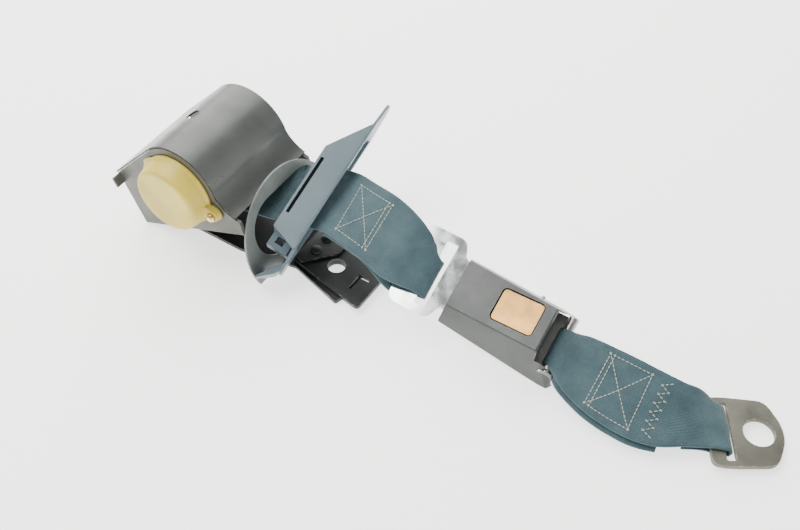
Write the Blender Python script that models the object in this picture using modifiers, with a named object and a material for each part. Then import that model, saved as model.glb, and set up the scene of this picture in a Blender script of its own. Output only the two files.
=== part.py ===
"""A retractable lap belt laid out buckled: retractor, belt guide, tongue, buckle, strap and anchor.

+X runs along the belt from the retractor to the anchor, +Y along the spool's axis, +Z up.
The origin is under the middle of the whole layout, on the surface that it lies on.
"""

import math

import bmesh
import bpy
from mathutils import Euler, Matrix, Vector

MM = 0.001
GAP = 0.3 * MM  # what two touching pieces keep between them

# Webbing
WEB_WIDTH = 48 * MM
WEB_THICK = 1.3 * MM
LAYER_HALF = WEB_THICK / 2 + GAP  # from the middle of two sewn layers to each layer's middle

# Retractor: frame and cover
FRAME_WIDTH = 76 * MM  # over both side plates
PLATE_THICK = 2.5 * MM
BASE_REAR = -61.5 * MM  # rear edge of the frame, from the spool's axis
BASE_DROP = -35 * MM  # lower edge of the side plates
WEB_LIFT = 8 * MM  # the base web's underside above the plates' lower edge
BASE_WEB_END = 2 * MM
FRAME_REAR_TOP = 9 * MM
NOSE_UP = 24  # degrees that the frame leans back on its bracket
COVER_RADIUS = 33 * MM  # outside, round the spool
COVER_THICK = 1.2 * MM
COVER_HOLE_RADIUS = 3.8 * MM

# Retractor: spool and lock
SHAFT_RADIUS = 4.5 * MM
CORE_RADIUS = 8 * MM
ROLL_RADIUS = 19.4 * MM
ROLL_CLEAR = 0.9 * MM  # from the roll to the webbing that leaves it
RATCHET_RADIUS = 23.9 * MM
RATCHET_ROOT = 19.8 * MM
RATCHET_THICK = 3 * MM
RATCHET_TEETH = 12
RATCHET_OFFSET = WEB_WIDTH / 2 + 6.5 * MM  # the webbing leaves at a slant and needs room beside it
LOCK_PIVOT = (-31.5 * MM, -17 * MM)
LOCK_PIN_RADIUS = 2.5 * MM
LOCK_BLADE = 2.6 * MM
RUN_GAP = 0.3 * MM  # radial play of a turning fit

# Spring cap and its screw
CAP_RADIUS = 27 * MM
CAP_DEPTH = 15.5 * MM
CAP_WALL = 2 * MM
CAP_FLANGE = 1.6 * MM
SCREW_RADIUS = 1.7 * MM
SCREW_HEAD = 3.2 * MM
LUG_RADIUS = 5.2 * MM
LUG_REACH = 31.2 * MM
LUG_ANGLE = -34
SPRING_TURNS = 5
SPRING_STRIP = 0.8 * MM

# Exit ring
RING_THICK = 1.6 * MM
RING_RADIUS = 46.5 * MM
RING_MOUTH_HALF = 37 * MM
RING_MOUTH_RADIUS = 22 * MM
RING_LEAN = 9  # degrees from the frame's upright

# Bracket
BRACKET_THICK = 2.8 * MM
BRACKET_WIDTH = 46 * MM
BOLT_HOLE_RADIUS = 6.25 * MM
RIVET_RADIUS = 2.5 * MM
RIVET_HEAD = 4.2 * MM

# Belt guide
GUIDE_HALF_LENGTH = 69 * MM
GUIDE_HALF_HEIGHT = 20 * MM
GUIDE_WALL = 2 * MM
GUIDE_DEPTH = 21 * MM

# Tongue
TONGUE_THICK = 2.2 * MM
TONGUE_HALF_WIDTH = 29 * MM
TONGUE_OUTER = -38 * MM
TONGUE_SLOT = (-20 * MM, -12 * MM)
BLADE_HALF_WIDTH = 17 * MM
BLADE_TIP = 26 * MM
LOOP_HALF = 3.0 * MM  # half the height inside a webbing loop round a flat bar
TONGUE_BUNCH = 0.93  # share of its width that the webbing keeps where it bunches in the slot

# Buckle
BUCKLE_LENGTH = 67 * MM
BUCKLE_TOP_HALF = 17.5 * MM
BUCKLE_FOOT_HALF = 25 * MM
BUCKLE_REAR_HALF = 28.6 * MM
BUCKLE_FRONT_HEIGHT = 12.2 * MM
BUCKLE_REAR_HEIGHT = 26 * MM
WING_LENGTH = 15 * MM
SHELL_WALL = 2 * MM
BUTTON_LENGTH = 30 * MM
BUTTON_WIDTH = 22 * MM
BUTTON_FRONT = 29 * MM
BUTTON_TRAVEL = 3 * MM
BASE_PLATE_THICK = 2.2 * MM
STRAP_BAR_RADIUS = 3.5 * MM
STRAP_BAR_X = 76 * MM
STRAP_BAR_Z = 9 * MM
TONGUE_Z = 7.7 * MM  # middle of the tongue above the buckle's foot
LATCH_THICK = 1.6 * MM

# Anchor
ANCHOR_THICK = 3.2 * MM
ANCHOR_HOLE_RADIUS = 9.8 * MM
ANCHOR_HALF_WIDTH = 23 * MM
ANCHOR_BUNCH = 0.83
ANCHOR_END = 15 * MM
ANCHOR_SLOT = (-23 * MM, -17 * MM)
ANCHOR_INNER = -32 * MM

# How it lies: each group's place, and its turn as yaw, nose-down and far-edge-up in degrees
AXIS_PLACE = Vector((-131.5, -27, 57)) * MM
GUIDE_PLACE = Vector((-53, 2, 42)) * MM
GUIDE_TURN = (7.8, 20.5, 27)
BUCKLE_PLACE = Vector((53.3, -11.2, 20.9)) * MM
BUCKLE_TURN = (3, 6, 26)
ANCHOR_PLACE = Vector((257.5, 3, 2.9)) * MM
ANCHOR_TURN = (32, 3.3, 0)
PULL_TURN = (10.5, -6.3)  # yaw and nose-down of the webbing where it runs out of the retractor

for old in list(bpy.data.objects):
    bpy.data.objects.remove(old, do_unlink=True)

parts = bpy.data.collections.new("lap_belt")
cutters = bpy.data.collections.new("cutters")
bpy.context.scene.collection.children.link(parts)
bpy.context.scene.collection.children.link(cutters)


def material(name, colour, roughness, metallic=0.0):
    made = bpy.data.materials.new(name)
    made.use_nodes = True
    shader = made.node_tree.nodes["Principled BSDF"]
    shader.inputs["Base Color"].default_value = (*colour, 1)
    shader.inputs["Roughness"].default_value = roughness
    shader.inputs["Metallic"].default_value = metallic
    return made


COVER_GREY = material("cover_grey", (0.09, 0.095, 0.1), 0.38)
FRAME_GREY = material("frame_grey", (0.16, 0.17, 0.17), 0.5, 0.6)
RING_GREY = material("ring_grey", (0.36, 0.38, 0.39), 0.45)
BRACKET_BLACK = material("bracket_black", (0.012, 0.012, 0.013), 0.35)
NYLON = material("aged_nylon", (0.8, 0.68, 0.33), 0.45)
BRASS = material("brass", (0.78, 0.6, 0.28), 0.3, 1)
STEEL = material("plain_steel", (0.45, 0.45, 0.44), 0.4, 1)
CHROME = material("chrome", (0.85, 0.86, 0.87), 0.08, 1)
RUSTED = material("phosphated_steel", (0.2, 0.17, 0.13), 0.6, 0.7)
GUIDE_BLUE = material("guide_blue", (0.16, 0.24, 0.31), 0.42)
WEB_BLUE = material("webbing_blue", (0.045, 0.115, 0.15), 0.7)
BUCKLE_GREY = material("buckle_grey", (0.05, 0.058, 0.058), 0.45)
COPPER_FOIL = material("copper_foil", (0.72, 0.42, 0.26), 0.35, 0.9)


def empty(name, place=(0, 0, 0), turn=(0, 0, 0), parent=None):
    """An empty that carries a group, turned by yaw, nose-down and far-edge-up in degrees."""
    held = bpy.data.objects.new(name, None)
    bpy.context.scene.collection.objects.link(held)
    held.location = place
    held.rotation_euler = turned(turn).to_euler()
    held.parent = parent
    return held


def turned(turn):
    yaw, nose_down, far_up = (math.radians(angle) for angle in turn)
    return Matrix.Rotation(yaw, 3, "Z") @ Matrix.Rotation(nose_down, 3, "Y") @ Matrix.Rotation(far_up, 3, "X")


def finish(name, mesh, finish_material, parent, smooth=None):
    made = bpy.data.objects.new(name, mesh)
    parts.objects.link(made)
    made.parent = parent
    made.data.materials.append(finish_material)
    if smooth is not None:
        mesh.shade_smooth()
        mesh.set_sharp_from_angle(angle=math.radians(smooth))
    return made


def hide_cutter(obj):
    parts.objects.unlink(obj)
    cutters.objects.link(obj)
    obj.hide_render = True
    obj.display_type = "WIRE"


def combine(obj, other, operation="DIFFERENCE"):
    modifier = obj.modifiers.new(operation.lower() + "_" + other.name, "BOOLEAN")
    modifier.operation = operation
    modifier.object = other
    modifier.solver = "EXACT"
    hide_cutter(other)


def bevel(obj, width, segments=2, angle=40):
    modifier = obj.modifiers.new("bevel", "BEVEL")
    modifier.width = width
    modifier.segments = segments
    modifier.limit_method = "ANGLE"
    modifier.angle_limit = math.radians(angle)


def box(name, low, high, finish_material, parent, turn=None):
    """A box between two corners, turned about its own middle by a matrix."""
    low, high = Vector(low), Vector(high)
    made = bmesh.new()
    bmesh.ops.create_cube(made, size=1)
    place = Matrix.Translation((low + high) / 2) @ (turn or Matrix.Identity(3)).to_4x4()
    made.transform(place @ Matrix.Diagonal((*(high - low), 1)))
    mesh = bpy.data.meshes.new(name)
    made.to_mesh(mesh)
    made.free()
    return finish(name, mesh, finish_material, parent)


def rod(name, radius, start, end, finish_material, parent, sides=32):
    start, end = Vector(start), Vector(end)
    made = bmesh.new()
    bmesh.ops.create_cone(
        made, cap_ends=True, segments=sides, radius1=radius, radius2=radius, depth=(end - start).length
    )
    spin = (end - start).to_track_quat("Z", "Y").to_matrix().to_4x4()
    made.transform(Matrix.Translation((start + end) / 2) @ spin)
    mesh = bpy.data.meshes.new(name)
    made.to_mesh(mesh)
    made.free()
    return finish(name, mesh, finish_material, parent, smooth=35)


def arc(centre, radius, start, end, steps):
    """Points on an arc, from one angle to another in degrees."""
    angles = [math.radians(start + (end - start) * i / steps) for i in range(steps + 1)]
    return [(centre[0] + radius * math.cos(a), centre[1] + radius * math.sin(a)) for a in angles]


def rounded(corners, radius, steps=4):
    """A closed outline with every corner rounded by a radius that its sides can hold."""
    points = []
    count = len(corners)
    for i, corner in enumerate(corners):
        here = Vector(corner)
        before = Vector(corners[i - 1]) - here
        after = Vector(corners[(i + 1) % count]) - here
        reach = min(radius, before.length * 0.45, after.length * 0.45)
        first = here + before.normalized() * reach
        last = here + after.normalized() * reach
        for k in range(steps + 1):
            t = k / steps
            points.append(tuple((1 - t) ** 2 * first + 2 * t * (1 - t) * here + t**2 * last))
    return points


def outline(name, loops, thickness, plane, finish_material, parent, smooth=None):
    """A flat outline, with holes, made thick. The plane's matrix takes it from XY to its place."""
    curve = bpy.data.curves.new(name + "_outline", "CURVE")
    curve.dimensions = "2D"
    curve.fill_mode = "BOTH"
    curve.extrude = thickness / 2
    for loop in loops:
        spline = curve.splines.new("POLY")
        spline.points.add(len(loop) - 1)
        for point, (x, y) in zip(spline.points, loop):
            point.co = (x, y, 0, 1)
        spline.use_cyclic_u = True
    drawn = bpy.data.objects.new(name + "_outline", curve)
    bpy.context.scene.collection.objects.link(drawn)
    graph = bpy.context.evaluated_depsgraph_get()
    mesh = bpy.data.meshes.new_from_object(drawn.evaluated_get(graph))
    bpy.data.objects.remove(drawn)
    solid = bmesh.new()
    solid.from_mesh(mesh)
    bmesh.ops.remove_doubles(solid, verts=solid.verts, dist=1e-6)
    solid.transform(plane)
    bmesh.ops.recalc_face_normals(solid, faces=solid.faces)
    solid.to_mesh(mesh)
    solid.free()
    mesh.materials.clear()
    mesh.name = name
    return finish(name, mesh, finish_material, parent, smooth)


def upright(y):
    """Takes an outline drawn in X and Z to its place at a distance along Y."""
    return Matrix.Translation((0, y, 0)) @ Matrix.Rotation(math.radians(90), 4, "X")


def hull(name, points, finish_material, parent):
    solid = bmesh.new()
    for point in points:
        solid.verts.new(point)
    result = bmesh.ops.convex_hull(solid, input=solid.verts)
    loose = [item for item in result["geom_interior"] if isinstance(item, bmesh.types.BMVert)]
    bmesh.ops.delete(solid, geom=loose, context="VERTS")
    bmesh.ops.recalc_face_normals(solid, faces=solid.faces)
    mesh = bpy.data.meshes.new(name)
    solid.to_mesh(mesh)
    solid.free()
    return finish(name, mesh, finish_material, parent)


def turned_solid(name, profile, finish_material, parent, place, steps=48):
    """A profile of (radius, height) turned about an axis by a Screw modifier."""
    mesh = bpy.data.meshes.new(name)
    edges = [(i, i + 1) for i in range(len(profile) - 1)]
    if profile[0][0] > 0:
        edges.append((len(profile) - 1, 0))
    mesh.from_pydata([(r, 0, z) for r, z in profile], edges, [])
    made = finish(name, mesh, finish_material, parent)
    made.matrix_local = place
    screw = made.modifiers.new("turn", "SCREW")
    screw.steps = steps
    screw.render_steps = steps
    screw.use_merge_vertices = True
    screw.merge_threshold = 1e-5
    screw.use_smooth_shade = True
    return made


def strap(name, stations, parent):
    """Webbing: one flat section swept through stations of (middle, across, normal)."""
    solid = bmesh.new()
    rings = []
    for middle, across, normal in stations:
        side = across * (WEB_WIDTH / 2)
        lift = normal * (WEB_THICK / 2)
        corners = (middle - side - lift, middle + side - lift, middle + side + lift, middle - side + lift)
        rings.append([solid.verts.new(corner) for corner in corners])
    for first, second in zip(rings, rings[1:]):
        for i in range(4):
            j = (i + 1) % 4
            solid.faces.new((first[i], first[j], second[j], second[i]))
    solid.faces.new(rings[0])
    solid.faces.new(reversed(rings[-1]))
    bmesh.ops.triangulate(solid, faces=solid.faces)
    bmesh.ops.recalc_face_normals(solid, faces=solid.faces)
    mesh = bpy.data.meshes.new(name)
    solid.to_mesh(mesh)
    solid.free()
    return finish(name, mesh, WEB_BLUE, parent, smooth=50)


def smooth_path(keys, per_span):
    """Keys of equal length, read from a Catmull-Rom curve through them."""
    path = []
    for i in range(len(keys) - 1):
        before = keys[max(i - 1, 0)]
        after = keys[min(i + 2, len(keys) - 1)]
        for k in range(per_span):
            t = k / per_span
            path.append([
                0.5 * (2 * b + (c - a) * t + (2 * a - 5 * b + 4 * c - d) * t**2 + (3 * b - a - 3 * c + d) * t**3)
                for a, b, c, d in zip(before, keys[i], keys[i + 1], after)
            ])
    path.append(list(keys[-1]))
    return path


def frames_along(path):
    """(middle, across, normal, offset) for a path of (x, y, z, yaw, far-edge-up, offset)."""
    found = []
    for i, (x, y, z, yaw, far_up, offset) in enumerate(path):
        ahead = Vector(path[min(i + 1, len(path) - 1)][:3]) - Vector(path[max(i - 1, 0)][:3])
        yaw, far_up = math.radians(yaw), math.radians(far_up)
        across = Vector((-math.sin(yaw) * math.cos(far_up), math.cos(yaw) * math.cos(far_up), math.sin(far_up)))
        normal = ahead.cross(across).normalized()
        across = normal.cross(ahead).normalized()
        found.append((Vector((x, y, z)), across, normal, offset))
    return found


layout = empty("layout")

# ---------------------------------------------------------------- retractor
retractor = empty("retractor", AXIS_PLACE, (0, -NOSE_UP, 0), layout)
half = FRAME_WIDTH / 2
cover_inside = COVER_RADIUS - COVER_THICK
plate_radius = cover_inside - GAP
ring_up = Vector((math.sin(math.radians(RING_LEAN)), 0, math.cos(math.radians(RING_LEAN))))
ring_out = Vector((ring_up.z, 0, -ring_up.x))
RING_PLACE = Vector((39.9, 0, -51.6)) * MM  # in the middle of the ring's plate


def ring_front_u(w, ahead):
    """How far forward the ring's plane is at a height, shifted ahead of its middle."""
    return RING_PLACE.x + ahead + (w - RING_PLACE.z) * math.tan(math.radians(RING_LEAN))


rear_reach = (BASE_REAR + 1.5 * MM, FRAME_REAR_TOP)
touch = 116  # where the straight rear stretch of the cover meets its round part, in degrees
behind_ring = -RING_THICK / 2 - GAP
plate_front_low = (ring_front_u(BASE_DROP, behind_ring), BASE_DROP)
plate_front_high = (ring_front_u(-25 * MM, behind_ring), -25 * MM)
flare = [(33.2 * MM, -9.5 * MM), (35.4 * MM, -14.5 * MM), (38.2 * MM, -18.6 * MM), (41.2 * MM, -21.6 * MM)]
side_outline = (
    [(BASE_REAR, BASE_DROP), plate_front_low, plate_front_high]
    + [(u - COVER_THICK, w - COVER_THICK * 0.6) for u, w in reversed(flare)]
    + arc((0, 0), plate_radius, -12, touch, 20)
    + [rear_reach]
)
side_plates = []
for side in (-1, 1):
    side_plates.append(outline(
        "side_plate" if side < 0 else "far_plate",
        [side_outline],
        PLATE_THICK,
        upright(side * (half - PLATE_THICK / 2)),
        FRAME_GREY,
        retractor,
    ))
frame = side_plates[0]
frame.name = "frame"
combine(frame, side_plates[1], "UNION")
base_web = box(
    "base_web",
    (BASE_REAR, -half + PLATE_THICK / 2, BASE_DROP + WEB_LIFT),
    (BASE_WEB_END, half - PLATE_THICK / 2, BASE_DROP + WEB_LIFT + PLATE_THICK),
    FRAME_GREY,
    retractor,
)
combine(frame, base_web, "UNION")
rear_tab = box(
    "rear_tab",
    (BASE_REAR + 1.2 * MM, -half - 7 * MM, FRAME_REAR_TOP - 8 * MM),
    (BASE_REAR + 3 * MM, -half + PLATE_THICK / 2, FRAME_REAR_TOP - 0.5 * MM),
    FRAME_GREY,
    retractor,
)
combine(frame, rear_tab, "UNION")
shaft_hole = rod(
    "shaft_hole", SHAFT_RADIUS + RUN_GAP, (0, -half - 5 * MM, 0), (0, half - PLATE_THICK - 2 * MM, 0), STEEL, retractor
)
combine(frame, shaft_hole)
BUSH_RADIUS = SHAFT_RADIUS + RUN_GAP + 2 * MM
bush_hole = rod("bush_hole", BUSH_RADIUS + GAP, (0, 0, 0), (0, half + 5 * MM, 0), STEEL, retractor)
combine(frame, bush_hole)
lock_hole = rod(
    "lock_hole",
    LOCK_PIN_RADIUS + RUN_GAP,
    (LOCK_PIVOT[0], -half - 5 * MM, LOCK_PIVOT[1]),
    (LOCK_PIVOT[0], half + 5 * MM, LOCK_PIVOT[1]),
    STEEL,
    retractor,
)
combine(frame, lock_hole)

lug_place = Vector((
    LUG_REACH * math.cos(math.radians(LUG_ANGLE)), 0, LUG_REACH * math.sin(math.radians(LUG_ANGLE))
))
screw_hole = rod(
    "screw_hole",
    SCREW_RADIUS + GAP,
    lug_place + Vector((0, -half - 5 * MM, 0)),
    lug_place + Vector((0, -half + PLATE_THICK + 3 * MM, 0)),
    BRASS,
    retractor,
)
combine(frame, screw_hole)

# Cover: one strip of sheet, straight at the rear, round over the spool, flared at the exit
cover_path = (
    [(rear_reach[0] - 2 * MM, rear_reach[1] + 0.2 * MM)]
    + arc((0, 0), COVER_RADIUS - COVER_THICK / 2, touch, -8, 26)
    + flare
)


def thickened(path, thickness):
    """A closed outline round an open path."""
    sides = [[], []]
    for i, point in enumerate(path):
        ahead = Vector(path[min(i + 1, len(path) - 1)]) - Vector(path[max(i - 1, 0)])
        normal = Vector((-ahead.y, ahead.x)).normalized() * (thickness / 2)
        sides[0].append(tuple(Vector(point) + normal))
        sides[1].append(tuple(Vector(point) - normal))
    return sides[0] + sides[1][::-1]


cover = outline("cover", [thickened(cover_path, COVER_THICK)], FRAME_WIDTH, upright(0), COVER_GREY, retractor, 30)
hole_angle = math.radians(95)
hole_way = Vector((math.cos(hole_angle), 0, math.sin(hole_angle)))
cover_hole = rod("cover_hole", COVER_HOLE_RADIUS, hole_way * 26 * MM, hole_way * 40 * MM, STEEL, retractor, 24)
combine(cover, cover_hole)

# Exit ring: a flat-footed ring that stands across the mouth
ring_plane = Matrix.Translation(RING_PLACE) @ Matrix((
    (0, ring_up.x, ring_out.x), (1, ring_up.y, ring_out.y), (0, ring_up.z, ring_out.z)
)).to_4x4()
ring_foot = -(26 - 0.3) * MM / math.cos(math.radians(NOSE_UP - RING_LEAN)) + BRACKET_THICK
ring_centre = (2 * MM, -6.7 * MM)
foot_angle = math.degrees(math.asin((ring_foot - ring_centre[1]) / RING_RADIUS))
ring_outer = arc(ring_centre, RING_RADIUS, foot_angle, 180 - foot_angle, 48)
mouth_centre = (5 * MM, 5.2 * MM)
mouth_run = RING_MOUTH_HALF - RING_MOUTH_RADIUS
ring_mouth = arc((mouth_centre[0] + mouth_run, mouth_centre[1]), RING_MOUTH_RADIUS, -90, 90, 16) + arc(
    (mouth_centre[0] - mouth_run, mouth_centre[1]), RING_MOUTH_RADIUS, 90, 270, 16
)
exit_ring = outline("exit_ring", [ring_outer, ring_mouth], RING_THICK, ring_plane, RING_GREY, retractor, 30)

# Spring cap: a moulded cup with a flange, a lug for its screw and one square corner
cap_place = Matrix.Translation((0, -half - GAP, 0)) @ Matrix.Rotation(math.radians(90), 4, "X")
cap_profile = [
    (0, CAP_DEPTH),
    (CAP_RADIUS - 4 * MM, CAP_DEPTH),
    (CAP_RADIUS - 1.6 * MM, CAP_DEPTH - 0.8 * MM),
    (CAP_RADIUS - 0.3 * MM, CAP_DEPTH - 3 * MM),
    (CAP_RADIUS + 0.4 * MM, CAP_FLANGE),
    (CAP_RADIUS + 1.8 * MM, CAP_FLANGE),
    (CAP_RADIUS + 1.8 * MM, 0),
    (CAP_RADIUS - CAP_WALL, 0),
    (CAP_RADIUS - CAP_WALL - 0.6 * MM, CAP_DEPTH - CAP_WALL),
    (0, CAP_DEPTH - CAP_WALL),
]
spring_cap = turned_solid("spring_cap", cap_profile, NYLON, retractor, cap_place)
lug = rod(
    "cap_lug",
    LUG_RADIUS,
    lug_place + Vector((0, -half - GAP - 5 * MM, 0)),
    lug_place + Vector((0, -half - GAP, 0)),
    NYLON,
    retractor,
)
combine(spring_cap, lug, "UNION")
corner_turn = Matrix.Rotation(math.radians(-12), 3, "Y")
corner_middle = Vector((-19.5, 0, 20.5)) * MM
corner = box(
    "cap_corner",
    corner_middle + Vector((-7 * MM, -half - GAP - 2.6 * MM, -6 * MM)),
    corner_middle + Vector((7 * MM, -half - GAP, 6 * MM)),
    NYLON,
    retractor,
    corner_turn,
)
combine(spring_cap, corner, "UNION")
spring_room = rod(
    "spring_room",
    CAP_RADIUS - CAP_WALL - 0.6 * MM,
    (0, -half - CAP_DEPTH + CAP_WALL + 0.5 * MM, 0),
    (0, -half + 5 * MM, 0),
    NYLON,
    retractor,
    48,
)
combine(spring_cap, spring_room)
cap_screw_hole = rod(
    "cap_screw_hole",
    SCREW_RADIUS + GAP,
    lug_place + Vector((0, -half - 12 * MM, 0)),
    lug_place + Vector((0, -half + 3 * MM, 0)),
    BRASS,
    retractor,
)
combine(spring_cap, cap_screw_hole)

cap_screw = turned_solid(
    "cap_screw",
    [
        (0, 8.2 * MM),
        (SCREW_HEAD * 0.6, 8 * MM),
        (SCREW_HEAD, 6.6 * MM),
        (SCREW_HEAD, 5.4 * MM),
        (SCREW_RADIUS, 5.4 * MM),
        (SCREW_RADIUS, -PLATE_THICK - 1.5 * MM),
        (0, -PLATE_THICK - 1.5 * MM),
    ],
    BRASS,
    retractor,
    Matrix.Translation(lug_place) @ cap_place,
    20,
)

# Rewind spring: a spiral of strip between the arbor and the cap's wall
ARBOR_RADIUS = SHAFT_RADIUS + 2.5 * MM
spring_inner = ARBOR_RADIUS + GAP + SPRING_STRIP
spring_outer = CAP_RADIUS - CAP_WALL - 0.6 * MM - GAP - SPRING_STRIP
spiral = []
for i in range(SPRING_TURNS * 16 + 1):
    share = i / (SPRING_TURNS * 16)
    angle = math.radians(22.5 * i)
    reach = spring_inner + (spring_outer - spring_inner) * share
    spiral.append((reach * math.cos(angle), reach * math.sin(angle)))
spring_y = -half - GAP - (CAP_DEPTH - CAP_WALL) / 2
rewind_spring = outline(
    "rewind_spring", [thickened(spiral, SPRING_STRIP)], CAP_DEPTH - CAP_WALL - 4 * MM, upright(spring_y), STEEL, retractor
)

# Far bush and the clip that holds the shaft in it
bush_profile = [
    (BUSH_RADIUS, PLATE_THICK + GAP),
    (BUSH_RADIUS, -GAP),
    (BUSH_RADIUS + 3 * MM, -GAP),
    (BUSH_RADIUS + 3 * MM, -2 * MM - GAP),
    (SHAFT_RADIUS + RUN_GAP, -2 * MM - GAP),
    (SHAFT_RADIUS + RUN_GAP, PLATE_THICK + GAP),
]
far_bush = turned_solid(
    "far_bush", bush_profile, NYLON, retractor,
    Matrix.Translation((0, half, 0)) @ Matrix.Rotation(math.radians(90), 4, "X"), 32,
)

# ---------------------------------------------------------------- spool
spool = empty("spool", parent=retractor)
shaft_near = -half - GAP - CAP_DEPTH + CAP_WALL + 1.2 * MM
shaft_far = half + 6 * MM
spool_shaft = rod("spool_shaft", SHAFT_RADIUS, (0, shaft_near, 0), (0, shaft_far, 0), STEEL, spool)
clip_y = half + 2 * MM + 2 * GAP
retaining_clip = outline(
    "retaining_clip",
    [arc((0, 0), SHAFT_RADIUS + 3 * MM, 20, 340, 24) + arc((0, 0), SHAFT_RADIUS + 0.05 * MM, 340, 20, 24)],
    1.2 * MM,
    upright(clip_y + 0.6 * MM),
    STEEL,
    spool,
)
spring_arbor = outline(
    "spring_arbor",
    [arc((0, 0), ARBOR_RADIUS, 0, 350, 35), arc((0, 0), SHAFT_RADIUS + 0.05 * MM, 0, 350, 35)],
    CAP_DEPTH - CAP_WALL - 4 * MM,
    upright(spring_y),
    NYLON,
    spool,
)
spool_core = outline(
    "spool_core",
    [arc((0, 0), CORE_RADIUS, 0, 350, 35), arc((0, 0), SHAFT_RADIUS + 0.05 * MM, 0, 350, 35)],
    2 * (RATCHET_OFFSET - RATCHET_THICK / 2 - GAP),
    upright(0),
    STEEL,
    spool,
    40,
)
webbing_roll = outline(
    "webbing_roll",
    [arc((0, 0), ROLL_RADIUS, 0, 352.5, 47), arc((0, 0), CORE_RADIUS + 0.1 * MM, 0, 350, 35)],
    WEB_WIDTH,
    upright(0),
    WEB_BLUE,
    spool,
    30,
)


def ratchet_outline():
    """Sawteeth whose gaps take the lock bar's blade, one gap facing the bar at rest."""
    points = []
    pitch = 360 / RATCHET_TEETH
    for i in range(RATCHET_TEETH):
        gap_middle = 180 + i * pitch
        points += arc((0, 0), RATCHET_ROOT, gap_middle - 0.3 * pitch, gap_middle + 0.24 * pitch, 4)
        points += arc((0, 0), RATCHET_RADIUS, gap_middle + 0.33 * pitch, gap_middle + 0.5 * pitch, 2)
    return points


for label, side in (("near", -1), ("far", 1)):
    outline(
        "ratchet_wheel_" + label,
        [ratchet_outline(), arc((0, 0), SHAFT_RADIUS + 0.05 * MM, 0, 350, 35)],
        RATCHET_THICK,
        upright(side * RATCHET_OFFSET),
        STEEL,
        spool,
    )

# ---------------------------------------------------------------- lock bar
lock = empty("lock", (LOCK_PIVOT[0], 0, LOCK_PIVOT[1]), parent=retractor)
blade_top = -LOCK_PIVOT[1] + LOCK_BLADE / 2
blade_lean = -RATCHET_RADIUS - 0.8 * MM - LOCK_PIVOT[0]
lock_bar = rod(
    "lock_bar", LOCK_PIN_RADIUS, (0, -half + 0.4 * MM, 0), (0, half - 0.4 * MM, 0), STEEL, lock, 20
)
blade = hull(
    "lock_blade",
    [
        (x, y, z)
        for y in (-half + PLATE_THICK + 1.5 * MM, half - PLATE_THICK - 1.5 * MM)
        for x, z in (
            (-1.6 * MM, 0),
            (1.6 * MM, 0),
            (blade_lean, blade_top),
            (blade_lean, blade_top - LOCK_BLADE),
            (blade_lean - 3 * MM, blade_top),
        )
    ],
    STEEL,
    lock,
)
combine(lock_bar, blade, "UNION")

# ---------------------------------------------------------------- bracket
bracket = empty("bracket", parent=layout)
flat = Matrix.Translation((0, 0, BRACKET_THICK / 2))
frame_turn = Matrix.Rotation(math.radians(-NOSE_UP), 3, "Y")


def on_frame(u, y, w):
    """A point of the leaning retractor, in the layout."""
    return AXIS_PLACE + frame_turn @ Vector((u, y, w))


leg_top = BASE_DROP + WEB_LIFT - GAP
leg_low = leg_top - BRACKET_THICK
mid_y = AXIS_PLACE.y
leg_slope = math.tan(math.radians(NOSE_UP))
low_point = on_frame(0, 0, leg_low)
bend_x = low_point.x - (low_point.z - BRACKET_THICK) / leg_slope
near_y = mid_y - BRACKET_WIDTH / 2
far_y = mid_y + BRACKET_WIDTH / 2
foot_outline = rounded(
    [
        (bend_x - 4 * MM, near_y),
        (-100 * MM, near_y),
        (-58 * MM, near_y + 8 * MM),
        (-17 * MM, near_y - 3 * MM),
        (-14 * MM, near_y + 8 * MM),
        (-16 * MM, far_y),
        (bend_x - 4 * MM, far_y),
    ],
    2 * MM,
)
mounting_bracket = outline("mounting_bracket", [foot_outline], BRACKET_THICK, flat, BRACKET_BLACK, bracket)
leg = box(
    "bracket_leg",
    (-24 * MM, -BRACKET_WIDTH / 2, -BRACKET_THICK / 2),
    (24 * MM, BRACKET_WIDTH / 2, BRACKET_THICK / 2),
    BRACKET_BLACK,
    bracket,
    frame_turn,
)
leg.location = Vector((bend_x, mid_y, BRACKET_THICK)) + frame_turn @ Vector((22.5 * MM, 0, BRACKET_THICK / 2))
combine(mounting_bracket, leg, "UNION")

plate_z = BRACKET_THICK + GAP + BRACKET_THICK / 2
top_outline = rounded(
    [
        (-62 * MM, near_y + 11 * MM),
        (-20 * MM, near_y + 2 * MM),
        (0, near_y - 1.5 * MM),
        (0, far_y + 0.5 * MM),
        (-62 * MM, far_y - 2 * MM),
    ],
    4 * MM,
)
BOLT_PLACE = Vector((-33, -28.5, 0)) * MM
bolt_circle = [
    (BOLT_PLACE.x + x, BOLT_PLACE.y + y) for x, y in arc((0, 0), BOLT_HOLE_RADIUS, 0, 348.75, 31)
]
bracket_plate = outline(
    "bracket_plate",
    [top_outline, bolt_circle],
    BRACKET_THICK,
    Matrix.Translation((0, 0, plate_z)),
    BRACKET_BLACK,
    bracket,
)
bolt_hole = rod(
    "bolt_hole",
    BOLT_HOLE_RADIUS,
    BOLT_PLACE + Vector((0, 0, -5 * MM)),
    BOLT_PLACE + Vector((0, 0, BRACKET_THICK + 1 * MM)),
    STEEL,
    bracket,
)
combine(mounting_bracket, bolt_hole)
for label, low, high in (
    ("long", (-15.5, -40.5), (-13.2, -26.5)),
    ("short", (-13.3, -28.8), (-6.5, -26.5)),
):
    slot = box(
        "lance_" + label,
        (low[0] * MM, low[1] * MM, BRACKET_THICK - 3 * MM),
        (high[0] * MM, high[1] * MM, plate_z + 5 * MM),
        STEEL,
        bracket,
    )
    combine(bracket_plate, slot)
stiff_thick = 1.8 * MM
stiff_z = plate_z + BRACKET_THICK / 2 + GAP + stiff_thick / 2
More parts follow.
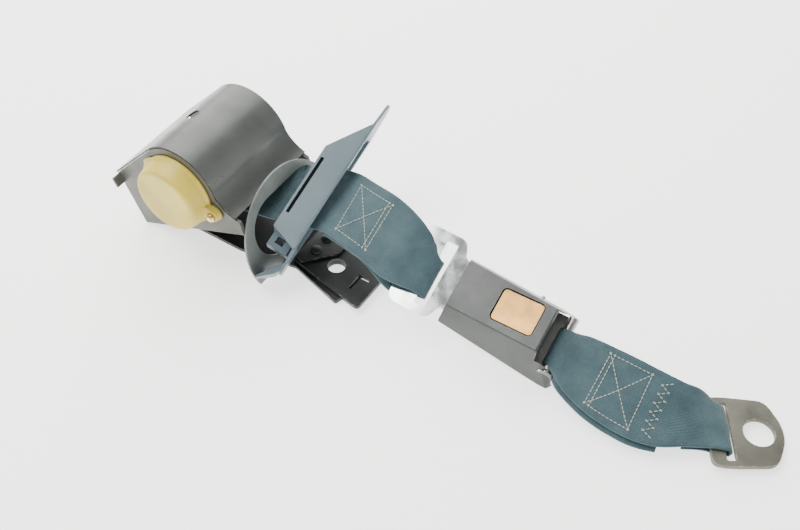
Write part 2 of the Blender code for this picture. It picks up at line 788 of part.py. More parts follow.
bracket_stiffener = outline(
    "bracket_stiffener",
    [rounded(
        [
            (-61 * MM, near_y + 12 * MM),
            (-54 * MM, near_y + 10 * MM),
            (-36.5 * MM, near_y + 30 * MM),
            (-36.5 * MM, far_y - 3 * MM),
            (-61 * MM, far_y - 3 * MM),
        ],
        1.5 * MM,
    )],
    stiff_thick,
    Matrix.Translation((0, 0, stiff_z)),
    BRACKET_BLACK,
    bracket,
)

# Rivets: two hold the layers of the bracket, two hold its raised leg to the frame's base web
layer_low = 0.2 * MM
layer_high = stiff_z + stiff_thick / 2


def rivet_profile(low, high):
    return [
        (0, high + GAP + 1.6 * MM),
        (RIVET_HEAD * 0.6, high + GAP + 1.4 * MM),
        (RIVET_HEAD, high + GAP + 0.4 * MM),
        (RIVET_HEAD, high + GAP),
        (RIVET_RADIUS, high + GAP),
        (RIVET_RADIUS, low),
        (0, low),
    ]


for i, y in enumerate((mid_y + 1 * MM, mid_y + 14 * MM), start=1):
    spot = Vector((-52 * MM, y, 0))
    drill = rod(
        f"layer_drill_{i}", RIVET_RADIUS + GAP, spot + Vector((0, 0, -3 * MM)), spot + Vector((0, 0, 15 * MM)),
        STEEL, bracket, 20,
    )
    combine(mounting_bracket, drill)
    for layer in (bracket_plate, bracket_stiffener):
        modifier = layer.modifiers.new("drill", "BOOLEAN")
        modifier.object = drill
    turned_solid(
        f"plate_rivet_{i}", rivet_profile(layer_low, layer_high), STEEL, bracket, Matrix.Translation(spot), 20
    )

leg_from_frame = AXIS_PLACE
for i, y in enumerate((-12 * MM, 12 * MM), start=1):
    spot = Matrix.Translation(on_frame(-38 * MM, y, 0)) @ frame_turn.to_4x4()
    drill = rod(
        f"leg_drill_{i}",
        RIVET_RADIUS + GAP,
        spot @ Vector((0, 0, leg_low - 1.5 * MM)),
        spot @ Vector((0, 0, leg_top + 8 * MM)),
        STEEL,
        bracket,
        20,
    )
    combine(mounting_bracket, drill)
    modifier = frame.modifiers.new("drill", "BOOLEAN")
    modifier.object = drill
    web_top = leg_top + GAP + PLATE_THICK
    turned_solid(f"frame_rivet_{i}", rivet_profile(leg_low + 0.2 * MM, web_top), STEEL, bracket, spot, 20)

# ---------------------------------------------------------------- belt guide
guide = empty("guide", GUIDE_PLACE, GUIDE_TURN, layout)
face_plane = Matrix(((0, 0, 1, 0), (1, 0, 0, 0), (0, 1, 0, 0), (0, 0, 0, 1)))
end_half = 7 * MM
flange_outline = rounded(
    [
        (-GUIDE_HALF_LENGTH, -end_half),
        (-40 * MM, -GUIDE_HALF_HEIGHT + 4 * MM),
        (-25 * MM, -GUIDE_HALF_HEIGHT),
        (46 * MM, -GUIDE_HALF_HEIGHT),
        (GUIDE_HALF_LENGTH, -end_half),
        (GUIDE_HALF_LENGTH, end_half),
        (46 * MM, GUIDE_HALF_HEIGHT),
        (-42 * MM, GUIDE_HALF_HEIGHT),
        (-GUIDE_HALF_LENGTH, end_half),
    ],
    4 * MM,
)
belt_guide = outline(
    "belt_guide", [flange_outline], GUIDE_WALL, face_plane @ Matrix.Translation((0, 0, -GUIDE_WALL / 2)), GUIDE_BLUE, guide
)
FUNNEL_FRONT = (-52 * MM, 50 * MM, -15 * MM, 18.5 * MM)  # near, far, low and high
FUNNEL_REAR = (-45 * MM, 19 * MM, -11 * MM, 15 * MM)


def funnel(grow, front_x, rear_x):
    points = []
    for x, (near, far, low, high) in ((front_x, FUNNEL_FRONT), (rear_x, FUNNEL_REAR)):
        points += [(x, y, z) for y in (near - grow, far + grow) for z in (low - grow, high + grow)]
    return points


funnel_wall = hull("funnel_wall", funnel(0, -GUIDE_WALL / 2, -GUIDE_DEPTH), GUIDE_BLUE, guide)
combine(belt_guide, funnel_wall, "UNION")
clip_block = box(
    "clip_block", (-19 * MM, -57 * MM, -7 * MM), (-4 * MM, -45.5 * MM, 7 * MM), GUIDE_BLUE, guide
)
combine(belt_guide, clip_block, "UNION")
clip_stem = box("clip_stem", (-8 * MM, -57 * MM, -5 * MM), (-1 * MM, -46 * MM, 5 * MM), GUIDE_BLUE, guide)
combine(belt_guide, clip_stem, "UNION")
foot_curl = hull(
    "foot_curl",
    [
        (x, y, z)
        for z in (-6 * MM, 6 * MM)
        for x, y in (
            (-0.5 * MM, -62 * MM),
            (-1.5 * MM, -68.5 * MM),
            (-9.5 * MM, -73.5 * MM),
            (-10.5 * MM, -71.5 * MM),
            (-2.5 * MM, -62 * MM),
        )
    ],
    GUIDE_BLUE,
    guide,
)
combine(belt_guide, foot_curl, "UNION")
throat = hull("throat", funnel(-GUIDE_WALL, 3 * MM, -GUIDE_DEPTH - 3 * MM), GUIDE_BLUE, guide)
combine(belt_guide, throat)
lip_slit = box(
    "lip_slit", (-19.2 * MM, -33 * MM, 8 * MM), (-17 * MM, 11 * MM, 20 * MM), GUIDE_BLUE, guide
)
combine(belt_guide, lip_slit)
clip_window = box("clip_window", (-15 * MM, -53.5 * MM, -10 * MM), (-9 * MM, -48.5 * MM, 10 * MM), GUIDE_BLUE, guide)
combine(belt_guide, clip_window)

# ---------------------------------------------------------------- tongue
buckled = empty("buckled", BUCKLE_PLACE, BUCKLE_TURN, layout)
tongue_level = Matrix.Translation((0, 0, TONGUE_Z))
tongue_outline = rounded(
    [
        (TONGUE_OUTER, -TONGUE_HALF_WIDTH),
        (-8 * MM, -TONGUE_HALF_WIDTH),
        (-4 * MM, -BLADE_HALF_WIDTH - 2 * MM),
        (-1 * MM, -BLADE_HALF_WIDTH),
        (BLADE_TIP, -BLADE_HALF_WIDTH),
        (BLADE_TIP, BLADE_HALF_WIDTH),
        (-1 * MM, BLADE_HALF_WIDTH),
        (-4 * MM, BLADE_HALF_WIDTH + 2 * MM),
        (-8 * MM, TONGUE_HALF_WIDTH),
        (TONGUE_OUTER, TONGUE_HALF_WIDTH),
    ],
    8 * MM,
)
SLOT_PLAY = 0.7 * MM
slot_half = WEB_WIDTH / 2 * TONGUE_BUNCH + SLOT_PLAY
slot_loop = rounded(
    [
        (TONGUE_SLOT[0], -slot_half),
        (TONGUE_SLOT[1], -slot_half),
        (TONGUE_SLOT[1], slot_half),
        (TONGUE_SLOT[0], slot_half),
    ],
    1 * MM,
)
WINDOW = (11 * MM, 19 * MM)
window_loop = rounded([(WINDOW[0], -7 * MM), (WINDOW[1], -7 * MM), (WINDOW[1], 7 * MM), (WINDOW[0], 7 * MM)], 1 * MM)
tongue = outline(
    "tongue", [tongue_outline, slot_loop, window_loop], TONGUE_THICK, tongue_level, CHROME, buckled
)

# ---------------------------------------------------------------- buckle


def roof(x, front, rear):
    return front + (rear - front) * x / BUCKLE_LENGTH


def section(x, foot_half, top_half, height, foot_x=None):
    """Both sides of a trapezium across the buckle, with its upper edges broken by a chamfer."""
    foot_x = x if foot_x is None else foot_x
    chamfer = 3 * MM
    rows = []
    for side in (-1, 1):
        rows += [
            (foot_x, side * foot_half, 0),
            (x, side * (top_half + chamfer * 0.8), height - chamfer),
            (x, side * top_half, height),
        ]
    return rows


wing_x = BUCKLE_LENGTH + WING_LENGTH
shell_points = (
    section(0, BUCKLE_FOOT_HALF, BUCKLE_TOP_HALF, BUCKLE_FRONT_HEIGHT, -2 * MM)
    + section(BUCKLE_LENGTH, BUCKLE_REAR_HALF, BUCKLE_TOP_HALF, BUCKLE_REAR_HEIGHT)
    + [(wing_x, side * BUCKLE_REAR_HALF, z) for side in (-1, 1) for z in (0, 7 * MM)]
)
buckle_housing = hull("buckle_housing", shell_points, BUCKLE_GREY, buckled)
wall = SHELL_WALL
room_points = (
    [
        (x, side * (foot - wall), z)
        for side in (-1, 1)
        for x, foot in ((1 * MM, BUCKLE_FOOT_HALF), (wing_x + 6 * MM, BUCKLE_REAR_HALF))
        for z in (-2 * MM, 2 * MM)
    ]
    + [(1.5 * MM, side * (BUCKLE_TOP_HALF + 0.6 * MM), BUCKLE_FRONT_HEIGHT - wall) for side in (-1, 1)]
    + [(wing_x + 6 * MM, side * (BUCKLE_TOP_HALF + 1.5 * MM), BUCKLE_REAR_HEIGHT - wall) for side in (-1, 1)]
    + [(BUCKLE_LENGTH - 3 * MM, side * (BUCKLE_TOP_HALF - 0.3 * MM), BUCKLE_REAR_HEIGHT - wall) for side in (-1, 1)]
)
buckle_room = hull("buckle_room", room_points, BUCKLE_GREY, buckled)
combine(buckle_housing, buckle_room)
notch = box(
    "rear_notch",
    (BUCKLE_LENGTH + 1 * MM, -BUCKLE_REAR_HALF + wall, -3 * MM),
    (wing_x + 10 * MM, BUCKLE_REAR_HALF - wall, BUCKLE_REAR_HEIGHT + 5 * MM),
    BUCKLE_GREY,
    buckled,
)
combine(buckle_housing, notch)
tongue_mouth = box(
    "tongue_mouth",
    (-6 * MM, -BLADE_HALF_WIDTH - 0.8 * MM, -2 * MM),
    (6 * MM, BLADE_HALF_WIDTH + 0.8 * MM, TONGUE_Z + TONGUE_THICK / 2 + 0.6 * MM),
    BUCKLE_GREY,
    buckled,
)
combine(buckle_housing, tongue_mouth)

roof_lean = math.atan2(BUCKLE_REAR_HEIGHT - BUCKLE_FRONT_HEIGHT, BUCKLE_LENGTH)
button_middle = BUTTON_FRONT + BUTTON_LENGTH / 2
button_top = roof(button_middle, BUCKLE_FRONT_HEIGHT, BUCKLE_REAR_HEIGHT)
button_frame = Matrix.Translation((button_middle, 0, button_top)) @ Matrix.Rotation(-roof_lean, 4, "Y")


def rectangle(length, width, radius):
    x, y = length / 2, width / 2
    return rounded([(-x, -y), (x, -y), (x, y), (-x, y)], radius)


button_hole = outline(
    "button_hole",
    [rectangle(BUTTON_LENGTH + 1 * MM, BUTTON_WIDTH + 1 * MM, 3.5 * MM)],
    14 * MM,
    button_frame,
    BUCKLE_GREY,
    buckled,
)
combine(buckle_housing, button_hole)

press_button = outline(
    "press_button",
    [rectangle(BUTTON_LENGTH, BUTTON_WIDTH, 3 * MM)],
    3 * MM,
    button_frame @ Matrix.Translation((0, 0, -2.9 * MM)),
    BUCKLE_GREY,
    buckled,
)
button_skirt_low = -6.5 * MM
for label, side in (("near", -1), ("far", 1)):
    skirt = box(
        "button_skirt_" + label,
        (-9 * MM, side * 8 * MM - 1 * MM, button_skirt_low),
        (9 * MM, side * 8 * MM + 1 * MM, -2.5 * MM),
        BUCKLE_GREY,
        buckled,
    )
    skirt.matrix_local = button_frame
    combine(press_button, skirt, "UNION")
button_foil = outline(
    "button_foil",
    [rectangle(BUTTON_LENGTH - 0.6 * MM, BUTTON_WIDTH - 0.6 * MM, 2.7 * MM)],
    0.5 * MM,
    button_frame @ Matrix.Translation((0, 0, -1.4 * MM + GAP + 0.25 * MM)),
    COPPER_FOIL,
    buckled,
)

# Steel base: a plate with two ears that carry the strap bar
EAR_THICK = 1.6 * MM
ear_y = WEB_WIDTH / 2 + GAP + EAR_THICK
base_front = -3.5 * MM
base_rear = STRAP_BAR_X
base_half_front = BUCKLE_FOOT_HALF - wall - 1 * MM
base_low = 0.4 * MM
buckle_base = outline(
    "buckle_base",
    [[
        (base_front, -BLADE_HALF_WIDTH - 0.3 * MM),
        (2.5 * MM, -BLADE_HALF_WIDTH - 0.3 * MM),
        (3.5 * MM, -base_half_front),
        (base_rear, -ear_y),
        (base_rear, ear_y),
        (3.5 * MM, base_half_front),
        (2.5 * MM, BLADE_HALF_WIDTH + 0.3 * MM),
        (base_front, BLADE_HALF_WIDTH + 0.3 * MM),
    ]],
    BASE_PLATE_THICK,
    Matrix.Translation((0, 0, base_low + BASE_PLATE_THICK / 2)),
    STEEL,
    buckled,
)
for label, side in (("near", -1), ("far", 1)):
    ear = outline(
        "ear_" + label,
        [rounded(
            [
                (BUCKLE_LENGTH + 2 * MM, base_low + 0.2 * MM),
                (STRAP_BAR_X + 5.5 * MM, base_low + 0.2 * MM),
                (STRAP_BAR_X + 5.5 * MM, STRAP_BAR_Z + 4.6 * MM),
                (STRAP_BAR_X - 5 * MM, STRAP_BAR_Z + 4.6 * MM),
            ],
            2 * MM,
        )],
        EAR_THICK,
        upright(side * (ear_y - EAR_THICK / 2)),
        STEEL,
        buckled,
    )
    combine(buckle_base, ear, "UNION")
bar_hole = rod(
    "bar_hole",
    STRAP_BAR_RADIUS + GAP,
    (STRAP_BAR_X, -40 * MM, STRAP_BAR_Z),
    (STRAP_BAR_X, 40 * MM, STRAP_BAR_Z),
    STEEL,
    buckled,
)
combine(buckle_base, bar_hole)
strap_bar = rod(
    "strap_bar",
    STRAP_BAR_RADIUS,
    (STRAP_BAR_X, -ear_y - 0.1 * MM, STRAP_BAR_Z),
    (STRAP_BAR_X, ear_y + 0.1 * MM, STRAP_BAR_Z),
    STEEL,
    buckled,
    28,
)

# Latch: a plate under the tongue, hinged on a pin at its rear, its tooth below the tongue's window
blade_under = TONGUE_Z - TONGUE_THICK / 2
LATCH_PIN = Vector((52 * MM, 0, 6.2 * MM))
latch = empty("latch", LATCH_PIN, parent=buckled)
latch_level = blade_under - GAP - LATCH_THICK / 2 - LATCH_PIN.z
latch_plate = outline(
    "latch_plate",
    [rectangle(44 * MM, 24 * MM, 2 * MM)],
    LATCH_THICK,
    Matrix.Translation((-21 * MM, 0, latch_level)),
    STEEL,
    latch,
)
latch_barrel = rod("latch_barrel", 2.4 * MM, (0, -12 * MM, 0), (0, 12 * MM, 0), STEEL, latch, 20)
combine(latch_plate, latch_barrel, "UNION")
latch_bore = rod("latch_bore", 1.5 * MM + RUN_GAP, (0, -20 * MM, 0), (0, 20 * MM, 0), STEEL, latch, 20)
combine(latch_plate, latch_bore)
latch_pin = rod(
    "latch_pin",
    1.5 * MM,
    LATCH_PIN + Vector((0, -19.5 * MM, 0)),
    LATCH_PIN + Vector((0, 19.5 * MM, 0)),
    STEEL,
    buckled,
    20,
)
for label, side in (("near", -1), ("far", 1)):
    post = box(
        "pin_post_" + label,
        (LATCH_PIN.x - 3 * MM, side * 15.5 * MM - 1.2 * MM, base_low + 0.3 * MM),
        (LATCH_PIN.x + 3 * MM, side * 15.5 * MM + 1.2 * MM, LATCH_PIN.z + 3 * MM),
        STEEL,
        buckled,
    )
    combine(buckle_base, post, "UNION")
post_hole = rod(
    "post_hole",
    1.5 * MM + GAP,
    LATCH_PIN + Vector((0, -19 * MM, 0)),
    LATCH_PIN + Vector((0, 19 * MM, 0)),
    STEEL,
    buckled,
    20,
)
combine(buckle_base, post_hole)

# ---------------------------------------------------------------- webbing
to_buckle = Matrix.Translation(BUCKLE_PLACE) @ turned(BUCKLE_TURN).to_4x4()
to_anchor = Matrix.Translation(ANCHOR_PLACE) @ turned(ANCHOR_TURN).to_4x4()


def flat_run(xs, offsets, level, matrix, share=1.0):
    """Stations along a flat bar, in the bar's own frame, at a share of the full width."""
    across = (matrix.to_3x3() @ Vector((0, 1, 0))).normalized() * share
    normal = (matrix.to_3x3() @ Vector((0, 0, 1))).normalized()
    return [(matrix @ Vector((x, 0, level)), across, normal, offset) for x, offset in zip(xs, offsets)]


def turn_back(centre_x, level, radius, matrix, forward, share=1.0):
    """Stations half round a bar, from above it to below it."""
    across = (matrix.to_3x3() @ Vector((0, 1, 0))).normalized() * share
    stations = []
    for i in range(1, 9):
        angle = math.pi * i / 9
        way = matrix.to_3x3() @ Vector((forward * math.sin(angle), 0, math.cos(angle)))
        middle = matrix @ Vector((centre_x, 0, level)) + way * radius
        stations.append((middle, across, way))
    return stations


def shifted(stations, sign):
    """Stations moved off the shared middle of two layers."""
    return [(middle + normal * offset * sign, across, normal) for middle, across, normal, offset in stations]


# Lap webbing: off the spool's underside, out through the ring and the guide, round the tongue and back
pull_yaw, pull_nose = (math.radians(angle) for angle in PULL_TURN)
pull_way = Vector((
    math.cos(pull_nose) * math.cos(pull_yaw), math.cos(pull_nose) * math.sin(pull_yaw), -math.sin(pull_nose)
))
leave = ROLL_RADIUS + ROLL_CLEAR + WEB_THICK / 2
start = AXIS_PLACE + Vector((leave * math.sin(-pull_nose), 0, -leave * math.cos(pull_nose)))
start = start - Vector((0, 0, 1)) * LAYER_HALF
STRAIGHT = 100 * MM  # how far the webbing runs straight
straight_rolls = (0, 2, 10, 17, 21)
lap_keys = []
for i, roll in enumerate(straight_rolls):
    point = start + pull_way * (STRAIGHT * i / (len(straight_rolls) - 1))
    lap_keys.append((*point, PULL_TURN[0] - roll * 0.35, roll, LAYER_HALF))
lap_keys += [
    (-13.5 * MM, -11.8 * MM, 43 * MM, 4, 25, LAYER_HALF),
]
lap_run = frames_along(smooth_path(lap_keys, 4))
loop_offset = LOOP_HALF + WEB_THICK / 2
bar_xs = [TONGUE_OUTER - 10 * MM, TONGUE_OUTER - 5 * MM, TONGUE_OUTER - 1 * MM]
bar_offsets = [LAYER_HALF + 0.3 * MM, (LAYER_HALF + loop_offset) / 2 + 0.5 * MM, loop_offset]
loop_x = TONGUE_SLOT[0] + 1 * MM
loop_run = flat_run(
    bar_xs + [(TONGUE_OUTER + loop_x) / 2, loop_x],
    bar_offsets + [loop_offset, loop_offset],
    TONGUE_Z,
    to_buckle,
    TONGUE_BUNCH,
)
doubled_from = len(lap_run) - 5
lap_stations = (
    shifted(lap_run + loop_run, 1)
    + turn_back(loop_x, TONGUE_Z, loop_offset, to_buckle, 1, TONGUE_BUNCH)
    + [(m, a, -n) for m, a, n in shifted((lap_run[doubled_from:] + loop_run)[::-1], -1)]
)
lap_webbing = strap("lap_webbing", lap_stations, layout)

# Buckle webbing: round the buckle's bar, along to the anchor, round its bar, and back to a sewn seam
bar_offset = STRAP_BAR_RADIUS + GAP + WEB_THICK / 2
near_run = flat_run(
    [STRAP_BAR_X, STRAP_BAR_X + 5 * MM, STRAP_BAR_X + 11 * MM],
    [bar_offset, bar_offset - 0.9 * MM, LAYER_HALF + 0.7 * MM],
    STRAP_BAR_Z,
    to_buckle,
)
strap_keys = [
    (151 * MM, -17.5 * MM, 18.8 * MM, 3, 21, LAYER_HALF),
    (168 * MM, -20.5 * MM, 15.8 * MM, 5, 20, LAYER_HALF),
    (186 * MM, -21.5 * MM, 13 * MM, 11, 16, LAYER_HALF),
    (201 * MM, -21 * MM, 10.5 * MM, 19, 10, LAYER_HALF),
    (212 * MM, -19 * MM, 8.2 * MM, 27, 4, LAYER_HALF + 0.8 * MM),
]
anchor_offset = LOOP_HALF + WEB_THICK / 2
middle_run = frames_along(smooth_path(strap_keys, 4))
anchor_loop_x = ANCHOR_SLOT[0] + 0.6 * MM
far_run = flat_run(
    [ANCHOR_INNER - 2 * MM, (ANCHOR_INNER + anchor_loop_x) / 2, anchor_loop_x],
    [anchor_offset] * 3,
    0,
    to_anchor,
    ANCHOR_BUNCH,
)
whole_run = near_run + middle_run + far_run
seam = len(near_run) + 10
strap_stations = (
    [(m, a, -n) for m, a, n in shifted(whole_run[:seam][::-1], -1)]
    + [(m, a, n) for m, a, n in turn_back(STRAP_BAR_X, STRAP_BAR_Z, bar_offset, to_buckle, -1)[::-1]]
    + shifted(whole_run, 1)
    + turn_back(anchor_loop_x, 0, anchor_offset, to_anchor, 1, ANCHOR_BUNCH)
    + [(m, a, -n) for m, a, n in shifted(whole_run[seam + 1:][::-1], -1)]
)
buckle_webbing = strap("buckle_webbing", strap_stations, layout)

# ---------------------------------------------------------------- anchor
anchor = empty("anchor", ANCHOR_PLACE, ANCHOR_TURN, layout)
anchor_outline = rounded(
    [
        (ANCHOR_INNER, -ANCHOR_HALF_WIDTH),
        (ANCHOR_SLOT[0], -ANCHOR_HALF_WIDTH - 1.5 * MM),
        (ANCHOR_SLOT[1], -ANCHOR_HALF_WIDTH - 1.5 * MM),
        (7.5 * MM, -ANCHOR_HALF_WIDTH),
        (ANCHOR_END, -6 * MM),
        (ANCHOR_END, 6 * MM),
        (7.5 * MM, ANCHOR_HALF_WIDTH),
        (ANCHOR_SLOT[1], ANCHOR_HALF_WIDTH + 1.5 * MM),
        (ANCHOR_SLOT[0], ANCHOR_HALF_WIDTH + 1.5 * MM),
        (ANCHOR_INNER, ANCHOR_HALF_WIDTH),
    ],
    6 * MM,
)
anchor_slot_half = WEB_WIDTH / 2 * ANCHOR_BUNCH + SLOT_PLAY
anchor_slot = rounded(
    [
        (ANCHOR_SLOT[0], -anchor_slot_half),
        (ANCHOR_SLOT[1], -anchor_slot_half),
        (ANCHOR_SLOT[1], anchor_slot_half),
        (ANCHOR_SLOT[0], anchor_slot_half),
    ],
    1 * MM,
)
anchor_plate = outline(
    "anchor_plate",
    [anchor_outline, anchor_slot, arc((0, 0), ANCHOR_HOLE_RADIUS, 0, 352.5, 47)],
    ANCHOR_THICK,
    Matrix.Identity(4),
    RUSTED,
    anchor,
)


def centre_on_floor():
    """Moves the layout so that the origin is under the middle of everything it carries."""
    bpy.context.view_layer.update()
    graph = bpy.context.evaluated_depsgraph_get()
    low = Vector((1e9, 1e9, 1e9))
    high = -low
    for obj in parts.objects:
        shown = obj.evaluated_get(graph)
        mesh = shown.to_mesh()
        for vertex in mesh.vertices:
            point = obj.matrix_world @ vertex.co
            low = Vector(min(a, b) for a, b in zip(low, point))
            high = Vector(max(a, b) for a, b in zip(high, point))
        shown.to_mesh_clear()
    layout.location = -Vector(((low.x + high.x) / 2, (low.y + high.y) / 2, low.z))


centre_on_floor()
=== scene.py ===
import math

import bmesh
import bpy
from mathutils import Matrix, Vector


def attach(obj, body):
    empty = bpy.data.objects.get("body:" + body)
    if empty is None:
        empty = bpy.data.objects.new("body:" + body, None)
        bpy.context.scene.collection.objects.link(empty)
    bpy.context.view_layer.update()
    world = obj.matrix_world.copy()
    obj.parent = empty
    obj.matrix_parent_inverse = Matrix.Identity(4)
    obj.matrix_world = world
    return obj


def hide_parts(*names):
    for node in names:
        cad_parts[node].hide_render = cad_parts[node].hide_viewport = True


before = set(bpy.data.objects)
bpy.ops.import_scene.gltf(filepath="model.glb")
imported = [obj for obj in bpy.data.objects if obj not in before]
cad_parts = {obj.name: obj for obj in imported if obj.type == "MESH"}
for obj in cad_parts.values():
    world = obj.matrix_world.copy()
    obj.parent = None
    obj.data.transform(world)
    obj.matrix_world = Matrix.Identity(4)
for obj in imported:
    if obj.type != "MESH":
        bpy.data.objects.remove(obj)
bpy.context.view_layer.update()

# ---------------------------------------------------------------- stage
# A pale plain table in soft daylight: one broad window light from the far left, a weaker one overhead,
# and a surround that is bright low down and dimmer above, for the chrome and the paint to reflect.
scene = bpy.context.scene
floor_reach, floor_drop = 6, 0.0004
floor_mesh = bpy.data.meshes.new("floor")
floor_mesh.from_pydata(
    [(x * floor_reach, y * floor_reach, 0) for x, y in ((-1, -1), (1, -1), (1, 1), (-1, 1))], [], [(0, 1, 2, 3)]
)
floor = bpy.data.objects.new("floor", floor_mesh)
scene.collection.objects.link(floor)
floor.location.z = -floor_drop
floor_paint = bpy.data.materials.new("floor_paint")
floor_paint.use_nodes = True
floor_shader = floor_paint.node_tree.nodes["Principled BSDF"]
floor_shader.inputs["Base Color"].default_value = (0.95, 0.955, 0.945, 1)
floor_shader.inputs["Roughness"].default_value = 0.6
floor_shader.inputs["Emission Color"].default_value = (1, 1, 0.985, 1)
floor_shader.inputs["Emission Strength"].default_value = 1.7
floor_mesh.materials.append(floor_paint)

world = bpy.data.worlds.new("surround")
scene.world = world
world.use_nodes = True
sky = world.node_tree
sky_place = sky.nodes.new("ShaderNodeTexCoord")
sky_split = sky.nodes.new("ShaderNodeSeparateXYZ")
sky_ramp = sky.nodes.new("ShaderNodeValToRGB")
for stop, height, shade in zip(
    sky_ramp.color_ramp.elements, (0.1, 0.6), ((1, 1, 0.98, 1), (0.2, 0.21, 0.21, 1))
):
    stop.position, stop.color = height, shade
sky.links.new(sky_place.outputs["Generated"], sky_split.inputs["Vector"])
sky.links.new(sky_split.outputs["Z"], sky_ramp.inputs["Fac"])
sky.links.new(sky_ramp.outputs["Color"], sky.nodes["Background"].inputs["Color"])
sky.nodes["Background"].inputs["Strength"].default_value = 1.7
for label, place, size, power, tint in (
    ("window", (-0.75, 0.95, 1.0), 1.6, 44, (1, 1, 0.97)),
    ("ceiling", (-0.6, -0.2, 1.15), 0.8, 15, (1, 1, 0.99)),
):
    light = bpy.data.lights.new(label, "AREA")
    light.energy = power
    light.size = size
    light.color = tint
    lamp = bpy.data.objects.new(label, light)
    lamp.location = place
    lamp.rotation_euler = (-Vector(place)).to_track_quat("-Z", "Y").to_euler()
    scene.collection.objects.link(lamp)

eye = bpy.data.cameras.new("camera")
eye.lens = 50
eye.sensor_width = 36
camera = bpy.data.objects.new("camera", eye)
camera.location = (0.2343, -0.4142, 0.5775)
camera.rotation_euler = (math.radians(41.1), 0, math.radians(33.2))
scene.collection.objects.link(camera)
scene.camera = camera


# ---------------------------------------------------------------- retractor's pressings
# Blanked and folded steel sheet: a dark painted cover, the frame's channel, a lighter ring, and three
# layers of black bracket held by rivets. The coats have rubbed thin along the rounded edges, but the
# ring's edges are coloured darker, as painted shade along its rims.
MM = 0.001


def coated(
    name, colour, rough, metallic=0.0, wear_and_shade_edge=None, wear_and_shade_amount=0.5, grain=900, bump=0.06, mottle=0.15
):
    """An even coat with faint mottling and fine orange peel, and another colour at its edges: worn through on
    most coats, a painted dark line of shade on the ring.
    """
    made = bpy.data.materials.new(name)
    made.use_nodes = True
    tree = made.node_tree
    shader = tree.nodes["Principled BSDF"]
    shader.inputs["Metallic"].default_value = metallic
    place = tree.nodes.new("ShaderNodeTexCoord")

    def noise(scale, detail, distortion=0.0):
        node = tree.nodes.new("ShaderNodeTexNoise")
        node.inputs["Scale"].default_value = scale
        node.inputs["Detail"].default_value = detail
        node.inputs["Distortion"].default_value = distortion
        tree.links.new(place.outputs["Object"], node.inputs["Vector"])
        return node.outputs["Fac"]

    def spread(value, low, high, to_low, to_high):
        node = tree.nodes.new("ShaderNodeMapRange")
        for socket, number in zip(("From Min", "From Max", "To Min", "To Max"), (low, high, to_low, to_high)):
            node.inputs[socket].default_value = number
        tree.links.new(value, node.inputs["Value"])
        return node.outputs["Result"]

    def blend(share, first, second):
        node = tree.nodes.new("ShaderNodeMix")
        node.data_type = "RGBA"
        if isinstance(first, tuple):
            node.inputs[6].default_value = (*first, 1)
        else:
            tree.links.new(first, node.inputs[6])
        node.inputs[7].default_value = (*second, 1)
        tree.links.new(share, node.inputs[0])
        return node.outputs[2]

    broad = noise(28, 4, 0.4)
    fine = noise(grain, 3)
    dark = tuple(c * (1 - mottle) for c in colour)
    light = tuple(min(c * (1 + mottle), 1) for c in colour)
    base = blend(spread(broad, 0.35, 0.65, 0, 1), dark, light)
    roughness = spread(noise(90, 4), 0.3, 0.7, rough - 0.07, rough + 0.07)
    if wear_and_shade_edge is not None:
        bevel = tree.nodes.new("ShaderNodeBevel")
        bevel.samples = 4
        bevel.inputs["Radius"].default_value = 0.0012
        shape = tree.nodes.new("ShaderNodeNewGeometry")
        dot = tree.nodes.new("ShaderNodeVectorMath")
        dot.operation = "DOT_PRODUCT"
        tree.links.new(bevel.outputs["Normal"], dot.inputs[0])
        tree.links.new(shape.outputs["Normal"], dot.inputs[1])
        edge = spread(dot.outputs["Value"], 0.995, 0.86, 0, 1)
        patch = spread(noise(260, 5, 0.3), 0.5, 0.62, 0, wear_and_shade_amount)
        both = tree.nodes.new("ShaderNodeMath")
        both.operation = "MULTIPLY"
        tree.links.new(edge, both.inputs[0])
        tree.links.new(patch, both.inputs[1])
        base = blend(both.outputs["Value"], base, wear_and_shade_edge)
    tree.links.new(base, shader.inputs["Base Color"])
    tree.links.new(roughness, shader.inputs["Roughness"])
    relief = tree.nodes.new("ShaderNodeBump")
    relief.inputs["Strength"].default_value = bump
    relief.inputs["Distance"].default_value = 0.0004
    tree.links.new(fine, relief.inputs["Height"])
    tree.links.new(relief.outputs["Normal"], shader.inputs["Normal"])
    return made


cover_paint = coated("cover_paint", (0.085, 0.09, 0.085), 0.34, 0.3, (0.3, 0.3, 0.28), 0.6, 500, 0.1, 0.14)
frame_paint = coated("frame_paint", (0.1, 0.1, 0.09), 0.45, 0.3, (0.3, 0.3, 0.27), 0.7, 700, 0.12, 0.22)
# The ring's edge colour is darker than its face: painted shade along its rims.
ring_paint = coated("ring_paint", (0.21, 0.23, 0.22), 0.42, 0.25, (0.1, 0.1, 0.1), 0.6, 800, 0.12, 0.16)
black_paint = coated("black_paint", (0.008, 0.0085, 0.008), 0.42, 0.0, (0.2, 0.2, 0.19), 0.9, 800, 0.1, 0.3)


def baked(rough, *cutters):
    """The mesh of an object with its modifiers applied. The object and what cut it are removed."""
    mesh = bpy.data.meshes.new_from_object(rough.evaluated_get(bpy.context.evaluated_depsgraph_get()))
    for spent in (rough, *cutters):
        bpy.data.objects.remove(spent)
    return mesh


def drawn_from(name, mesh):
    piece = bpy.data.objects.new(name, mesh)
    scene.collection.objects.link(piece)
    return piece


def cut_by(body, cutter):
    cut = body.modifiers.new("cut", "BOOLEAN")
    cut.solver = "EXACT"
    cut.object = cutter


def edges_rounded(body, width, segments, angle):
    bevel = body.modifiers.new("rounded", "BEVEL")
    bevel.width = width
    bevel.segments = segments
    bevel.limit_method = "ANGLE"
    bevel.angle_limit = math.radians(angle)


def shown_as(name, mesh, body, node=None):
    """A finished piece that rides on a body, in the place of a CAD node where it stands for one."""
    mesh.name = name
    made = drawn_from(name, mesh)
    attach(made, body)
    if node is not None:
        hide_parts(node)
    return made


